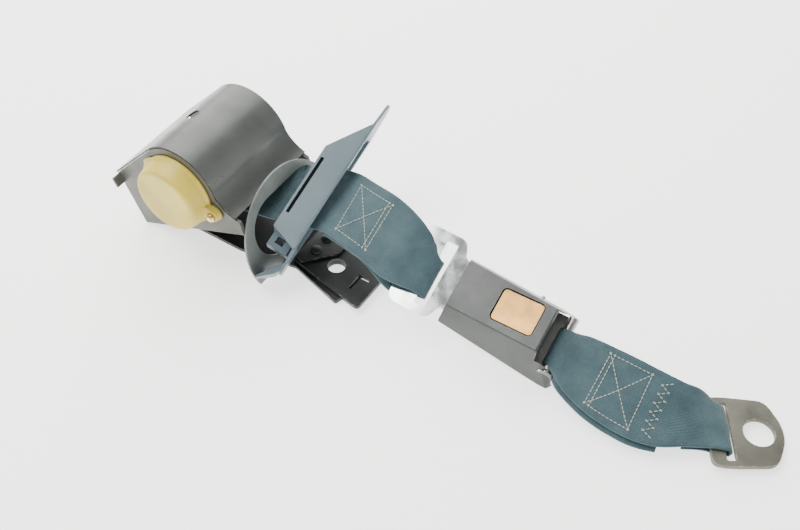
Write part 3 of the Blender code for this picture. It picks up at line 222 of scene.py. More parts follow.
def refined(node, name, width, body, finish, segments=3, cutter=None, second=None, pick=None, extra=None):
    """A pressed or moulded piece from its CAD shape, with the rounded edges that it really has."""
    solid = bmesh.new()
    solid.from_mesh(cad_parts[node].data)
    bmesh.ops.remove_doubles(solid, verts=solid.verts, dist=2e-6)
    bmesh.ops.dissolve_limit(solid, angle_limit=math.radians(0.8), verts=solid.verts, edges=solid.edges)
    mesh = bpy.data.meshes.new(name)
    solid.to_mesh(mesh)
    solid.free()
    mesh.materials.clear()
    if extra is not None:
        extra(mesh)
    mesh.shade_smooth()
    mesh.set_sharp_from_angle(angle=math.radians(70))
    rough = drawn_from(name + "_rough", mesh)
    if cutter is not None:
        cut_by(rough, cutter)
    edges_rounded(rough, width, segments, 28)
    flatten = rough.modifiers.new("flatten", "WEIGHTED_NORMAL")
    flatten.weight = 80
    flatten.keep_sharp = True
    finished = baked(rough, cutter) if cutter is not None else baked(rough)
    finished.materials.append(finish)
    if second is not None:
        finished.materials.append(second)
        for face in finished.polygons:
            face.material_index = 1 if pick(face.center, face.normal) else 0
    shown_as(name, finished, body, node)


def rod_between(start, end, radius, sides=32):
    """A plain round bar from start to end, for drilling a hole."""
    solid = bmesh.new()
    bmesh.ops.create_cone(
        solid, cap_ends=True, segments=sides, radius1=radius, radius2=radius, depth=(end - start).length
    )
    turn = (end - start).to_track_quat("Z", "Y").to_matrix().to_4x4()
    bmesh.ops.transform(solid, matrix=Matrix.Translation((start + end) / 2) @ turn, verts=solid.verts)
    mesh = bpy.data.meshes.new("drill")
    solid.to_mesh(mesh)
    solid.free()
    return drawn_from("drill", mesh)


SHIFT = Vector((-41.505, 7.285, 0.14)) * MM
axis_middle = Vector((-131.5, -27, 57)) * MM + SHIFT
leant = Matrix.Rotation(math.radians(-24), 3, "Y")
hole_turn, hole_radius = math.radians(94), 4.8 * MM
hole_way = leant @ Vector((math.cos(hole_turn), 0, math.sin(hole_turn)))


def unseen_side(centre, normal):
    """Faces of the cover that look in at the spool or are its cut edges."""
    inward = Vector((axis_middle.x - centre.x, 0, axis_middle.z - centre.z)).normalized()
    return abs(normal.y) > 0.8 or normal.dot(inward) > 0.3


def out_of_light(centre, normal):
    """The cover's inner side and the wall of its small hole, painted dark as shade, and its cut edges, dark in
    their own colour.
    """
    away = centre - axis_middle
    from_hole = (away - hole_way * away.dot(hole_way)).length
    in_hole = from_hole < hole_radius + 0.4 * MM and away.dot(hole_way) > 0 and abs(normal.dot(hole_way)) < 0.6
    return in_hole or unseen_side(centre, normal)


# A near-black coat: the cover's own dark colour on its cut edges, and painted shade on its inner side and in
# its small hole.
cut_edge_and_shade = coated("cut_edge_and_shade_paint", (0.02, 0.021, 0.021), 0.5, 0.2, (0.2, 0.2, 0.19), 0.5, 900, 0.1, 0.3)


refined(
    "cover", "retractor_cover", 0.3 * MM, "retractor", cover_paint, 2,
    cutter=rod_between(axis_middle + hole_way * 26 * MM, axis_middle + hole_way * 40 * MM, hole_radius),
    second=cut_edge_and_shade, pick=out_of_light,
)
refined("frame", "retractor_frame", 0.4 * MM, "retractor", frame_paint, 2)
refined("exit_ring", "belt_exit_ring", 0.4 * MM, "retractor", ring_paint, 2)
refined("mounting_bracket", "bracket_fold", 0.5 * MM, "retractor", black_paint, 2)
refined("bracket_plate", "bracket_top_layer", 0.5 * MM, "retractor", black_paint, 2)
refined("bracket_stiffener", "bracket_short_layer", 0.4 * MM, "retractor", black_paint, 2)
for node in ("frame_rivet_1", "frame_rivet_2", "plate_rivet_1", "plate_rivet_2"):
    refined(node, node + "_head", 0.3 * MM, "retractor", black_paint, 2)

# ---------------------------------------------------------------- spool, ratchets, lock and spring
# Turned and blanked steel, left as machined with a film of old oil: the spool's shaft and core, its
# ratchets, the lock bar and the rewind spring behind the cover, and the buckle's latch on its pin.
plain_steel = coated("plain_steel_finish", (0.42, 0.41, 0.39), 0.38, 1.0, (0.6, 0.6, 0.58), 0.5, 1200, 0.1, 0.2)
for node in (
    "spool_shaft",
    "spool_core",
    "ratchet_wheel_near",
    "ratchet_wheel_far",
    "retaining_clip",
    "lock_bar",
    "rewind_spring",
    "latch_plate",
    "latch_pin",
):
    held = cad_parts[node]
    for slot in held.material_slots:
        slot.material = plain_steel

# ---------------------------------------------------------------- spring cap
# A moulded nylon cup, gone yellow with age: waxy, with light coming a little way into it, a soft rim
# and a flange with one lug. A small brass-coloured screw through the lug holds it to the frame.
nylon = coated("aged_nylon_finish", (0.6, 0.46, 0.06), 0.42, 0.0, (0.66, 0.53, 0.13), 0.4, 400, 0.05, 0.16)
nylon_shader = nylon.node_tree.nodes["Principled BSDF"]
nylon_shader.inputs["Subsurface Weight"].default_value = 0.12
nylon_shader.inputs["Subsurface Radius"].default_value = (1, 0.7, 0.25)
nylon_shader.inputs["Subsurface Scale"].default_value = 0.0025
cap_rim = 27 * MM
lug_reach, lug_radius, lug_at = 31.2 * MM, 5.2 * MM, math.radians(-34)
cap_base = -38.3 * MM
cap_levels = []
for depth, radius, share in (
    (0, 26.7, 1), (0.3, 27, 1), (1.4, 27, 1), (1.9, 26.6, 1), (2.6, 26.1, 1), (4.2, 25.9, 1), (4.8, 25.8, 0.94),
    (5.0, 25.8, 0.8), (5.05, 25.8, 0.25), (5.3, 25.7, 0.08), (5.8, 25.6, 0), (8, 25.2, 0), (10.5, 24.7, 0),
):
    cap_levels.append((depth * MM, radius * MM, share))
for i in range(1, 11):
    turn_by = math.radians(9 * i)
    cap_levels.append((
        (11.9 + 3.5 * math.sin(turn_by)) * MM, (20.9 + 3.5 * math.cos(turn_by)) * MM, 0
    ))
for radius, sink in ((19, 0.01), (16, 0.1), (13, 0.22), (9, 0.27), (4, 0.28)):
    cap_levels.append(((15.4 - sink) * MM, radius * MM, 0))


def closed_stack(name, solid, rings):
    """A skin over a stack of rings of vertices, closed at both ends."""
    count = len(rings[0])
    for lower, upper in zip(rings, rings[1:]):
        for k in range(count):
            solid.faces.new((lower[k], lower[(k + 1) % count], upper[(k + 1) % count], upper[k]))
    solid.faces.new(rings[-1])
    solid.faces.new(rings[0][::-1])
    bmesh.ops.recalc_face_normals(solid, faces=solid.faces)
    mesh = bpy.data.meshes.new(name)
    solid.to_mesh(mesh)
    solid.free()
    return mesh


solid = bmesh.new()
rings = []
around = 144
for depth, radius, share in cap_levels:
    ring = []
    for k in range(around):
        angle = 2 * math.pi * k / around
        off = (angle - lug_at + math.pi) % (2 * math.pi) - math.pi
        outline_radius = cap_rim
        if abs(lug_reach * math.sin(off)) < lug_radius and abs(off) < 1:
            tip = lug_reach * math.cos(off) + math.sqrt(lug_radius**2 - (lug_reach * math.sin(off)) ** 2)
            outline_radius = max(outline_radius, tip)
        corner = abs((math.degrees(angle) - 131 + 180) % 360 - 180)
        outline_radius += max(0, 3.2 - corner * 0.17) * MM * (1 if depth < 2.6 * MM else 0.5)
        reach = radius + (outline_radius - cap_rim) * share
        spot = leant @ Vector((reach * math.cos(angle), 0, reach * math.sin(angle)))
        ring.append(solid.verts.new(axis_middle + spot + Vector((0, cap_base - depth, 0))))
    rings.append(ring)
cap_rough = drawn_from("cap_rough", closed_stack("cap_rough", solid, rings))
lug_spot = axis_middle + leant @ Vector((lug_reach * math.cos(lug_at), 0, lug_reach * math.sin(lug_at)))
drill = rod_between(lug_spot + Vector((0, -60 * MM, 0)), lug_spot + Vector((0, -30 * MM, 0)), 2 * MM, 20)
cut_by(cap_rough, drill)
cap_mesh = baked(cap_rough, drill)
cap_mesh.shade_smooth()
cap_mesh.set_sharp_from_angle(angle=math.radians(50))
cap_mesh.materials.clear()
cap_mesh.materials.append(nylon)
shown_as("spring_cap_moulding", cap_mesh, "retractor", "spring_cap")
brass = coated("brass_finish", (0.78, 0.6, 0.27), 0.28, 1.0, (0.9, 0.8, 0.5), 0.5, 1200, 0.05, 0.15)
refined("cap_screw", "cap_screw_head", 0.3 * MM, "retractor", brass, 2)
for node in ("far_bush", "spring_arbor"):
    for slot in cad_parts[node].material_slots:
        slot.material = nylon

# ---------------------------------------------------------------- belt guide
# A loose blue-grey moulding that the webbing runs through: a flat flange with a slit, a clip and a foot.
# Its plastic has a fine-grained satin face, slightly shiny where the belt has polished it.
guide_plastic = coated(
    "guide_plastic", (0.125, 0.175, 0.2), 0.36, 0.0, (0.3, 0.37, 0.39), 0.6, 1600, 0.08, 0.08
)
guide_place = Matrix.Translation(Vector((-53, 2, 42)) * MM + SHIFT) @ (
    Matrix.Rotation(math.radians(7.8), 4, "Z")
    @ Matrix.Rotation(math.radians(20.5), 4, "Y")
    @ Matrix.Rotation(math.radians(27), 4, "X")
)
guide_back = guide_place.inverted()
# The slit's walls and floor are coloured near-black: painted shade in the deep groove.
slit_dark = coated("guide_slit_shade", (0.012, 0.016, 0.018), 0.6, 0.0, None, 0.0, 900, 0.1, 0.3)


def slit_and_foot(mesh):
    """Close the slit's inner end, since the real one is a blind groove, and add the curled foot's tip. The
    closed end takes the slit's painted shade.
    """
    solid = bmesh.new()
    solid.from_mesh(mesh)
    low, high = Vector((-20.2, -34, 12.4)) * MM, Vector((-16, 12, 12.9)) * MM
    bmesh.ops.create_cube(solid, size=1, matrix=(
        guide_place @ Matrix.Translation((low + high) / 2) @ Matrix.Diagonal((*(high - low), 1))
    ))
    corners = [
        solid.verts.new(guide_place @ (Vector((x, y, z)) * MM))
        for z in (-7.5, 8.5)
        for x, y in ((-0.3, -64), (-3.2, -71), (-12.6, -80), (-13.4, -78.6), (-5, -69.5), (-2.2, -63))
    ]
    bmesh.ops.convex_hull(solid, input=corners)
    solid.to_mesh(mesh)
    solid.free()


# Faces inside the slit, which take the painted shade.
def in_slit(centre, normal):
    spot = guide_back @ centre / MM
    return -20.5 < spot.x < -15.5 and -34.5 < spot.y < 12.5 and 12.3 < spot.z < 19 and not (
        spot.z > 14.5 and abs(spot.x + 18.1) > 1.4
    )


refined(
    "belt_guide", "belt_guide_moulding", 0.6 * MM, "guide", guide_plastic, 3,
    second=slit_dark, pick=in_slit, extra=slit_and_foot,
)

# ---------------------------------------------------------------- tongue
# The plate that pushes into the buckle: stamped steel, tumbled round at its edges and bright plated.
# The lap webbing is sewn round the bar beside its slot.
chrome = coated("chrome_finish", (0.86, 0.87, 0.88), 0.1, 1.0, None, 0.0, 1500, 0.015, 0.03)
refined("tongue", "tongue_plate", 0.6 * MM, "tongue", chrome, 3)

# ---------------------------------------------------------------- buckle
# A moulded shell in worn grey plastic over a steel base, with a bar at the rear that holds its strap.
# The button sits in a rounded well and has a thin copper-coloured facing.
shell_plastic = coated(
    "buckle_shell_plastic", (0.045, 0.05, 0.047), 0.34, 0.0, (0.26, 0.27, 0.25), 0.8, 900, 0.14, 0.25
)
to_buckle = Matrix.Translation(Vector((53.3, -11.2, 20.9)) * MM + SHIFT) @ (
    Matrix.Rotation(math.radians(3), 4, "Z")
    @ Matrix.Rotation(math.radians(6), 4, "Y")
    @ Matrix.Rotation(math.radians(26), 4, "X")
)


def hull_of(name, points):
    """A closed convex solid round points given in the buckle's own frame, in mm."""
    solid = bmesh.new()
    made = bmesh.ops.convex_hull(solid, input=[solid.verts.new(to_buckle @ (Vector(p) * MM)) for p in points])
    bmesh.ops.delete(solid, geom=made["geom_interior"], context="VERTS")
    bmesh.ops.dissolve_limit(solid, angle_limit=math.radians(0.5), verts=solid.verts, edges=solid.edges)
    bmesh.ops.recalc_face_normals(solid, faces=solid.faces)
    mesh = bpy.data.meshes.new(name)
    solid.to_mesh(mesh)
    solid.free()
    return drawn_from(name, mesh)


def block(name, low, high):
    corners = [(x, y, z) for x in (low[0], high[0]) for y in (low[1], high[1]) for z in (low[2], high[2])]
    return hull_of(name, corners)


shell = hull_of("shell", [
    (-2, -25.7, 0), (0, -17.6, 8.5), (0, -15.6, 12.4), (0, 17.8, 12.4), (0, 19, 8.5), (-2, 21.5, 0),
    (66, -17.6, 26), (66, 12.4, 26), (66, -20.5, 17.5), (66, 14.2, 17.5), (66, -31.3, 0), (66, 19.2, 0),
    (74.5, -23, 13.5), (80.5, -25, 7), (83.3, -27, 0), (80, -32.2, 0), (78, 14.5, 8), (81.5, 17.5, 0),
])
room = hull_of("room", [
    (1, -23.5, -2), (1, -23.3, 2), (1.5, -15.2, 10.2), (1.5, 16.4, 10.2), (1, 19.6, 2), (1, 19.6, -2),
    (64, -16, 23.4), (64, 10.8, 23.4), (95, -29.3, -2), (95, -28.5, 2), (95, 17.2, -2), (95, 17, 2),
    (95, -19, 22), (95, 12, 22),
])
behind = block("behind", (67, -22, 3), (100, 12.6, 40))
mouth = block("mouth", (-6, -17.8, -2), (6, 17.8, 9.4))
deck_length, deck_rise, deck_start = 67, 13.8, 12.2
button_x, well_half, well_corner, well_depth = 44, (12, 8), 3.5, 7
button_at = Matrix.Translation(Vector((button_x, 0, deck_start + button_x * deck_rise / deck_length)) * MM) @ (
    Matrix.Rotation(-math.atan2(deck_rise, deck_length), 4, "Y")
)
well_points = []
for quarter, (way_x, way_y) in enumerate(((1, 1), (-1, 1), (-1, -1), (1, -1))):
    for k in range(5):
        turn_by = math.radians(90 * quarter + 22.5 * k)
        for z in (-well_depth, well_depth):
            corner = Vector((
                way_x * well_half[0] + well_corner * math.cos(turn_by),
                way_y * well_half[1] + well_corner * math.sin(turn_by),
                z,
            ))
            well_points.append(tuple((button_at @ (corner * MM)) / MM))
well = hull_of("well", well_points)
pockets = (room, behind, mouth, well)
shell.data.shade_smooth()
edges_rounded(shell, 1.9 * MM, 4, 14)
for pocket in pockets:
    cut_by(shell, pocket)
edges_rounded(shell, 0.3 * MM, 2, 50)
flatten = shell.modifiers.new("flatten", "WEIGHTED_NORMAL")
flatten.weight = 80
shell_mesh = baked(shell, *pockets)
shell_mesh.materials.clear()
shell_mesh.materials.append(shell_plastic)
shown_as("buckle_shell", shell_mesh, "buckle", "buckle_housing")
refined("press_button", "press_button_body", 0.5 * MM, "button", shell_plastic, 3)
refined(
    "buckle_base", "buckle_base_plate", 0.3 * MM, "buckle", plain_steel, 2,
    cutter=block("trim", (-20, 15.6, -20), (110, 60, 60)),
)
bar_x, bar_z, bar_radius, bar_sides = 76, 9, 3.5, 48
bar = bmesh.new()
bar_rings = []
for y, radius in ((-24.6, 2.9), (-24.2, bar_radius), (14.8, bar_radius), (15.2, 2.9)):
    ring = []
    for k in range(bar_sides):
        angle = 2 * math.pi * k / bar_sides
        spot = Vector((bar_x + radius * math.cos(angle), y, bar_z + radius * math.sin(angle)))
        ring.append(bar.verts.new(to_buckle @ (spot * MM)))
    bar_rings.append(ring)
bar_mesh = closed_stack("strap_bar_pin", bar, bar_rings)
bar_mesh.shade_smooth()
bar_mesh.set_sharp_from_angle(angle=math.radians(40))
bar_mesh.materials.append(plain_steel)
shown_as("strap_bar_pin", bar_mesh, "buckle", "strap_bar")
foil = coated("copper_foil_finish", (0.6, 0.32, 0.09), 0.36, 0.6, (0.56, 0.4, 0.18), 0.9, 700, 0.35, 0.35)
refined("button_foil", "press_button_facing", 0.2 * MM, "button", foil, 3)

# ---------------------------------------------------------------- anchor
# The plate that bolts to the floor of the car, by one large hole: thick, blanked and phosphated steel,
# with light rust. The buckle's strap is sewn through its slot.
anchor_steel = coated("anchor_steel", (0.15, 0.145, 0.115), 0.5, 0.45, (0.42, 0.4, 0.34), 0.9, 600, 0.25, 0.35)
refined("anchor_plate", "anchor_plate_blank", 0.5 * MM, "anchor", anchor_steel, 3)

# ---------------------------------------------------------------- webbing
# Woven polyester strap, 48 mm wide and 1.3 mm thick, with a rounded selvedge. It lies as it was last
# left: twisted out of the retractor, doubled and sewn at the tongue, curled where it bunches in a slot.
WIDTH = 48 * MM
THICK = 1.3 * MM


def turned(yaw, nose_down, far_up):
    yaw, nose_down, far_up = (math.radians(angle) for angle in (yaw, nose_down, far_up))
    return Matrix.Rotation(yaw, 3, "Z") @ Matrix.Rotation(nose_down, 3, "Y") @ Matrix.Rotation(far_up, 3, "X")


def lying(*keys):
    """Stations of a run: each key is its middle in mm, its yaw, its far edge's rise and its width's share."""
    found = []
    for i, (x, y, z, yaw, rise, share) in enumerate(keys):
        ahead = Vector(keys[min(i + 1, len(keys) - 1)][:3]) - Vector(keys[max(i - 1, 0)][:3])
        yaw, rise = math.radians(yaw), math.radians(rise)
        across = Vector((-math.sin(yaw) * math.cos(rise), math.cos(yaw) * math.cos(rise), math.sin(rise)))
        found.append((Vector((x, y, z)) * MM, across * share, ahead.cross(across).normalized()))
    return found


def round_bar(place, x, y, z, radius, forward, share, first=1, last=8):
    """Stations half round a bar, from its top: the webbing is bunched to a share of its width."""
    across = (place.to_3x3() @ Vector((0, 1, 0))).normalized() * share
    stations = []
    for i in range(first, last + 1):
        angle = math.pi * i / 9
        way = place.to_3x3() @ Vector((forward * math.sin(angle), 0, math.cos(angle)))
        stations.append((place @ (Vector((x, y, z)) * MM) + way * radius, across, way))
    return stations


def under(stations, gap, aside=0.0):
    """The layer below a run, going back the other way, and to one side by a little."""
    below = []
    for middle, across, normal in stations[::-1]:
        below.append((middle - normal * gap - across.normalized() * aside, across, -normal))
    return below


def resampled(stations, step):
    """The same run in even short steps, on a curve through the stations, with its length so far."""
    fine = []
    for i in range(len(stations) - 1):
        keys = [stations[max(i - 1, 0)], stations[i], stations[i + 1], stations[min(i + 2, len(stations) - 1)]]
        span = (keys[2][0] - keys[1][0]).length
        count = max(2, int(span / (step / 3)))
        for k in range(count):
            t = k / count
            mixed = []
            for which in range(3):
                a, b, c, d = (key[which] for key in keys)
                bend, twist = 2 * a - 5 * b + 4 * c - d, 3 * b - a - 3 * c + d
                mixed.append(0.5 * (2 * b + (c - a) * t + bend * t**2 + twist * t**3))
            fine.append(mixed)
    fine.append(list(stations[-1]))
    run = [0.0]
    for first, second in zip(fine, fine[1:]):
        run.append(run[-1] + (second[0] - first[0]).length)
    total = run[-1]
    even = []
    at = 0
    count = int(total / step)
    for k in range(count + 1):
        wanted = total * k / count
        while at < len(run) - 2 and run[at + 1] < wanted:
            at += 1
        share = (wanted - run[at]) / max(run[at + 1] - run[at], 1e-9)
        middle, across, normal = (fine[at][w].lerp(fine[at + 1][w], share) for w in range(3))
        even.append((middle, across, normal.normalized(), wanted))
    return even


def woven(name, stations, body, node):
    """Webbing swept along its stations: a flat section with rounded selvedges, and UVs in metres."""
    across_steps = 20
    half = WIDTH / 2
    solid = bmesh.new()
    uv = solid.loops.layers.uv.new("weave")
    rows = []
    bulge = THICK / 2
    profile = []
    inner = half - bulge * 0.9
    for i in range(across_steps + 1):
        profile.append((-inner + 2 * inner * i / across_steps, bulge))
    for k in range(1, 4):
        angle = math.pi / 2 - math.pi * k / 4
        profile.append((inner + bulge * 0.9 * math.cos(angle), bulge * math.sin(angle)))
    for i in range(across_steps + 1):
        profile.append((inner - 2 * inner * i / across_steps, -bulge))
    for k in range(1, 4):
        angle = -math.pi / 2 - math.pi * k / 4
        profile.append((-inner + bulge * 0.9 * math.cos(angle), bulge * math.sin(angle)))
    for middle, across, normal, run in stations:
        row = []
        for side, lift in profile:
            share = side / half
            bunch = 1 - min(across.length, 1)
            crown = bunch * (1.2 - 2.4 * share * share + 0.25 * math.cos(share * 8.5)) * max(normal.z, 0) * MM
            wave = 0.00012 * math.sin(run * 260 + share * 2.1) + 0.0001 * math.sin(run * 97 - share * 3)
            wave += 0.00016 * max(abs(share) - 0.82, 0) / 0.18 * math.sin(run * 510 + (1 if share > 0 else 4))
            row.append(solid.verts.new(middle + across * side + normal * (lift + wave + crown)))
        rows.append((row, run))
    count = len(profile)
    for (first, run_a), (second, run_b) in zip(rows, rows[1:]):
        for i in range(count):
            j = (i + 1) % count
            face = solid.faces.new((first[i], first[j], second[j], second[i]))
            face.smooth = True
            for loop, (index, run) in zip(face.loops, ((i, run_a), (j, run_a), (j, run_b), (i, run_b))):
                loop[uv].uv = (profile[index][0], run)
    for row, run, turn in ((rows[0][0], rows[0][1], False), (rows[-1][0], rows[-1][1], True)):
        face = solid.faces.new(row if turn else row[::-1])
        for loop, vertex in zip(face.loops, face.verts):
            loop[uv].uv = (profile[row.index(vertex)][0], run)
    bmesh.ops.recalc_face_normals(solid, faces=solid.faces)
    mesh = bpy.data.meshes.new(name)
    solid.to_mesh(mesh)
    solid.free()
    mesh.materials.append(webbing_weave)
    shown_as(name, mesh, body, node)


webbing_weave = bpy.data.materials.new("webbing_weave")
webbing_weave.use_nodes = True
tree = webbing_weave.node_tree
shader = tree.nodes["Principled BSDF"]
shader.inputs["Roughness"].default_value = 0.62
shader.inputs["Sheen Weight"].default_value = 0.35
shader.inputs["Sheen Roughness"].default_value = 0.4
shader.inputs["Specular IOR Level"].default_value = 0.35
uv_map = tree.nodes.new("ShaderNodeUVMap")
uv_map.uv_map = "weave"
split = tree.nodes.new("ShaderNodeSeparateXYZ")
tree.links.new(uv_map.outputs["UV"], split.inputs["Vector"])


def maths(operation, first, second=None, third=None):
    node = tree.nodes.new("ShaderNodeMath")
    node.operation = operation
    for socket, value in zip(node.inputs, (first, second, third)):
        if isinstance(value, (int, float)):
            socket.default_value = value
        elif value is not None:
            tree.links.new(value, socket)
    return node.outputs["Value"]


across_uv, along_uv = split.outputs["X"], split.outputs["Y"]
# Warp cords run lengthwise, and each is crossed by short floats that alternate from cord to cord
cord_pitch, float_length, float_shift = 0.00115, 0.0016, 0.0008
warp = maths("ABSOLUTE", maths("SINE", maths("MULTIPLY", across_uv, math.pi / cord_pitch)))
column = maths("FLOOR", maths("DIVIDE", across_uv, cord_pitch))
stagger = maths("MULTIPLY", maths("MODULO", maths("ABSOLUTE", column), 2.0), float_shift)
float_line = maths(
    "ABSOLUTE", maths("SINE", maths("MULTIPLY", maths("ADD", along_uv, stagger), math.pi / float_length))
)
height = maths("ADD", maths("MULTIPLY", warp, 0.6), maths("MULTIPLY", maths("MULTIPLY", warp, float_line), 0.5))
relief = tree.nodes.new("ShaderNodeBump")
relief.inputs["Strength"].default_value = 0.4
relief.inputs["Distance"].default_value = 0.0003
tree.links.new(height, relief.inputs["Height"])
tree.links.new(relief.outputs["Normal"], shader.inputs["Normal"])
place = tree.nodes.new("ShaderNodeTexCoord")
cloudy = tree.nodes.new("ShaderNodeTexNoise")
cloudy.inputs["Scale"].default_value = 55
cloudy.inputs["Detail"].default_value = 6
cloudy.inputs["Roughness"].default_value = 0.65
tree.links.new(place.outputs["Object"], cloudy.inputs["Vector"])
fuzz = tree.nodes.new("ShaderNodeTexNoise")
fuzz.inputs["Scale"].default_value = 1400
fuzz.inputs["Detail"].default_value = 2
tree.links.new(place.outputs["Object"], fuzz.inputs["Vector"])
tone_and_weave_shade = maths("ADD", maths("MULTIPLY", cloudy.outputs["Fac"], 0.6), maths("MULTIPLY", fuzz.outputs["Fac"], 0.25))
# The low parts of the weave are coloured darker: painted shade in the hollows between cords, on top of the
# strap's random tone.
tone_and_weave_shade = maths("ADD", tone_and_weave_shade, maths("MULTIPLY", height, 0.2))
ramp = tree.nodes.new("ShaderNodeValToRGB")
ramp.color_ramp.elements[0].position = 0.3
ramp.color_ramp.elements[0].color = (0.02, 0.047, 0.058, 1)
ramp.color_ramp.elements[1].position = 0.78
ramp.color_ramp.elements[1].color = (0.085, 0.15, 0.17, 1)
tree.links.new(tone_and_weave_shade, ramp.inputs["Fac"])
tree.links.new(ramp.outputs["Color"], shader.inputs["Base Color"])

to_anchor = Matrix.Translation(Vector((257.5, 3, 2.9)) * MM + SHIFT) @ turned(32, 3.3, 0).to_4x4()
loop_radius = 3 * MM + THICK / 2

# Lap webbing, from the underside of the roll to the tongue and back under itself: it bulges up where it
# turns down to the tongue, and bunches at the near end of the slot
lap_upper = lying(
    (-173.5, -19.8, 36.55, 10.5, 0, 1),
    (-150.9, -15.2, 39.1, 9.8, 2, 1),
    (-126.4, -10.7, 41.8, 7, 10, 1),
    (-102, -6.1, 44.8, 4.6, 17, 1),
    (-83.3, -2.4, 47, 3.5, 20, 1),
    (-64, -5, 47.3, 1, 23, 1),
    (-46.2, -7.4, 46.3, -2, 26, 1),
    (-30, -11, 43.3, -6, 27.5, 0.97),
    (-16.8, -12.2, 38.6, -7, 27, 0.82),
    (-10.2, -13.2, 34.9, -3, 26, 0.66),
)
lap_bar = round_bar(to_buckle, -19, -4.5, 7.7, loop_radius, 1, 0.57, 2)
lap_lower = [(
    to_buckle @ (Vector((x, y, 7.7 - drop)) * MM),
    (to_buckle.to_3x3() @ Vector((0, 1, 0))).normalized() * share,
    -(to_buckle.to_3x3() @ Vector((0, 0, 1))).normalized(),
) for x, y, drop, share in ((-25, -4.2, 3.4, 0.62), (-33, -3, 2.2, 0.78), (-41, -1.5, 0.9, 0.92))]
lap_stations = resampled(
    lap_upper + lap_bar + lap_lower + under(lap_upper[4:7], 2.2 * MM, 0.6 * MM), 1.8 * MM
)
woven("lap_strap", lap_stations, "lap_belt", "lap_webbing")

# Buckle webbing, one strip from its raw end round the buckle's bar, along, round the anchor and back
bar_offset = (bar_radius + 0.3) * MM + THICK / 2
strap_upper = lying(
    (95.5, -14.1, 21.4, 0, 25.5, 0.66),
    (104.5, -15.3, 20.5, -2, 25, 0.8),
    (120.6, -17.3, 19, 0, 24, 0.93),
    (137.3, -18, 18, 2.5, 22, 0.99),
    (153, -17.1, 16.5, 4, 20, 0.99),
    (166.9, -13.7, 14.5, 6, 16, 0.94),
    (178.5, -7, 11.8, 10, 11, 0.84),
    (187.4, -2.7, 9.3, 20, 5, 0.74),
)
strap_bar_run = round_bar(to_buckle, bar_x, -6.8, bar_z, bar_offset, -1, 0.54)
anchor_bar_run = round_bar(to_anchor, -22.4, 1.5, 0, loop_radius, 1, 0.68)
strap_stations = resampled(
    under(strap_upper[:6], 2.6 * MM, 3.2 * MM)
    + strap_bar_run[::-1]
    + strap_upper
    + anchor_bar_run
    + under(strap_upper[6:], 3.6 * MM, 0.5 * MM),
    1.8 * MM,
)
woven("buckle_strap", strap_stations, "strap", "buckle_webbing")

# The rest of the lap webbing, wound on the spool: one strip in a spiral, its layers close but not fused
spiral = []
roll_outer, roll_inner, layer_pitch = 19.2, 8.9, 1.42
turns = (roll_outer - roll_inner) / layer_pitch
steps = int(turns * 40)
for i in range(steps + 1):
    angle = math.radians(-90) - 2 * math.pi * turns * i / steps
    reach = (roll_outer - THICK / 2 / MM - (roll_outer - roll_inner) * i / steps) * MM
    way = Vector((math.cos(angle), 0, math.sin(angle)))
    spiral.append((axis_middle + way * reach, Vector((0, 1, 0)), way, i / steps * 0.6))
woven("rolled_webbing", spiral, "spool", "webbing_roll")


# ---------------------------------------------------------------- stitching
# Pale bonded thread, lockstitched through both layers: a box with its diagonals on the lap webbing,
# and a box with a zigzag on the buckle's strap. Each stitch is a short bead of thread.
def on_strap(stations, run, side, lift):
    """The point on the strap's face at a length along it and a share across it, lifted off it a little."""
    at = min(range(len(stations)), key=lambda k: abs(stations[k][3] - run))
    at = min(max(at, 1), len(stations) - 2)
    step = stations[at + 1][3] - stations[at][3]
    share = (run - stations[at][3]) / step
    other = stations[at + (1 if share >= 0 else -1)]
    here = stations[at]
    middle = here[0].lerp(other[0], abs(share))
    across = here[1].lerp(other[1], abs(share))
    normal = here[2].lerp(other[2], abs(share)).normalized()
    return middle + across * (side * WIDTH / 2) + normal * (THICK / 2 + lift)


thread_finish = coated("thread_finish", (0.42, 0.43, 0.36), 0.55, 0.0, None, 0.0, 3000, 0.2, 0.1)
thread_finish.node_tree.nodes["Principled BSDF"].inputs["Sheen Weight"].default_value = 0.4

stitcher = bpy.data.node_groups.new("stitch_row", "GeometryNodeTree")
stitcher.interface.new_socket("Seams", in_out="INPUT", socket_type="NodeSocketGeometry")
pitch_socket = stitcher.interface.new_socket("Pitch", in_out="INPUT", socket_type="NodeSocketFloat")
width_socket = stitcher.interface.new_socket("Thread radius", in_out="INPUT", socket_type="NodeSocketFloat")
finish_socket = stitcher.interface.new_socket("Thread", in_out="INPUT", socket_type="NodeSocketMaterial")
stitcher.interface.new_socket("Stitches", in_out="OUTPUT", socket_type="NodeSocketGeometry")
inward = stitcher.nodes.new("NodeGroupInput")
outward = stitcher.nodes.new("NodeGroupOutput")
to_curve = stitcher.nodes.new("GeometryNodeMeshToCurve")
even_out = stitcher.nodes.new("GeometryNodeResampleCurve")
even_out.mode = "LENGTH"
tangent = stitcher.nodes.new("GeometryNodeInputTangent")
keep_way = stitcher.nodes.new("GeometryNodeCaptureAttribute")
keep_way.capture_items.new("VECTOR", "Way")
to_points = stitcher.nodes.new("GeometryNodeCurveToPoints")
to_points.mode = "EVALUATED"
bead = stitcher.nodes.new("GeometryNodeMeshUVSphere")
bead.inputs["Segments"].default_value = 8
bead.inputs["Rings"].default_value = 6
bead.inputs["Radius"].default_value = 1.0
align = stitcher.nodes.new("FunctionNodeAlignRotationToVector")
align.axis = "X"
place_beads = stitcher.nodes.new("GeometryNodeInstanceOnPoints")
stretch = stitcher.nodes.new("ShaderNodeCombineXYZ")
longer = stitcher.nodes.new("ShaderNodeMath")
longer.operation = "MULTIPLY"
longer.inputs[1].default_value = 0.46
jitter = stitcher.nodes.new("FunctionNodeRandomValue")
jitter.data_type = "FLOAT"
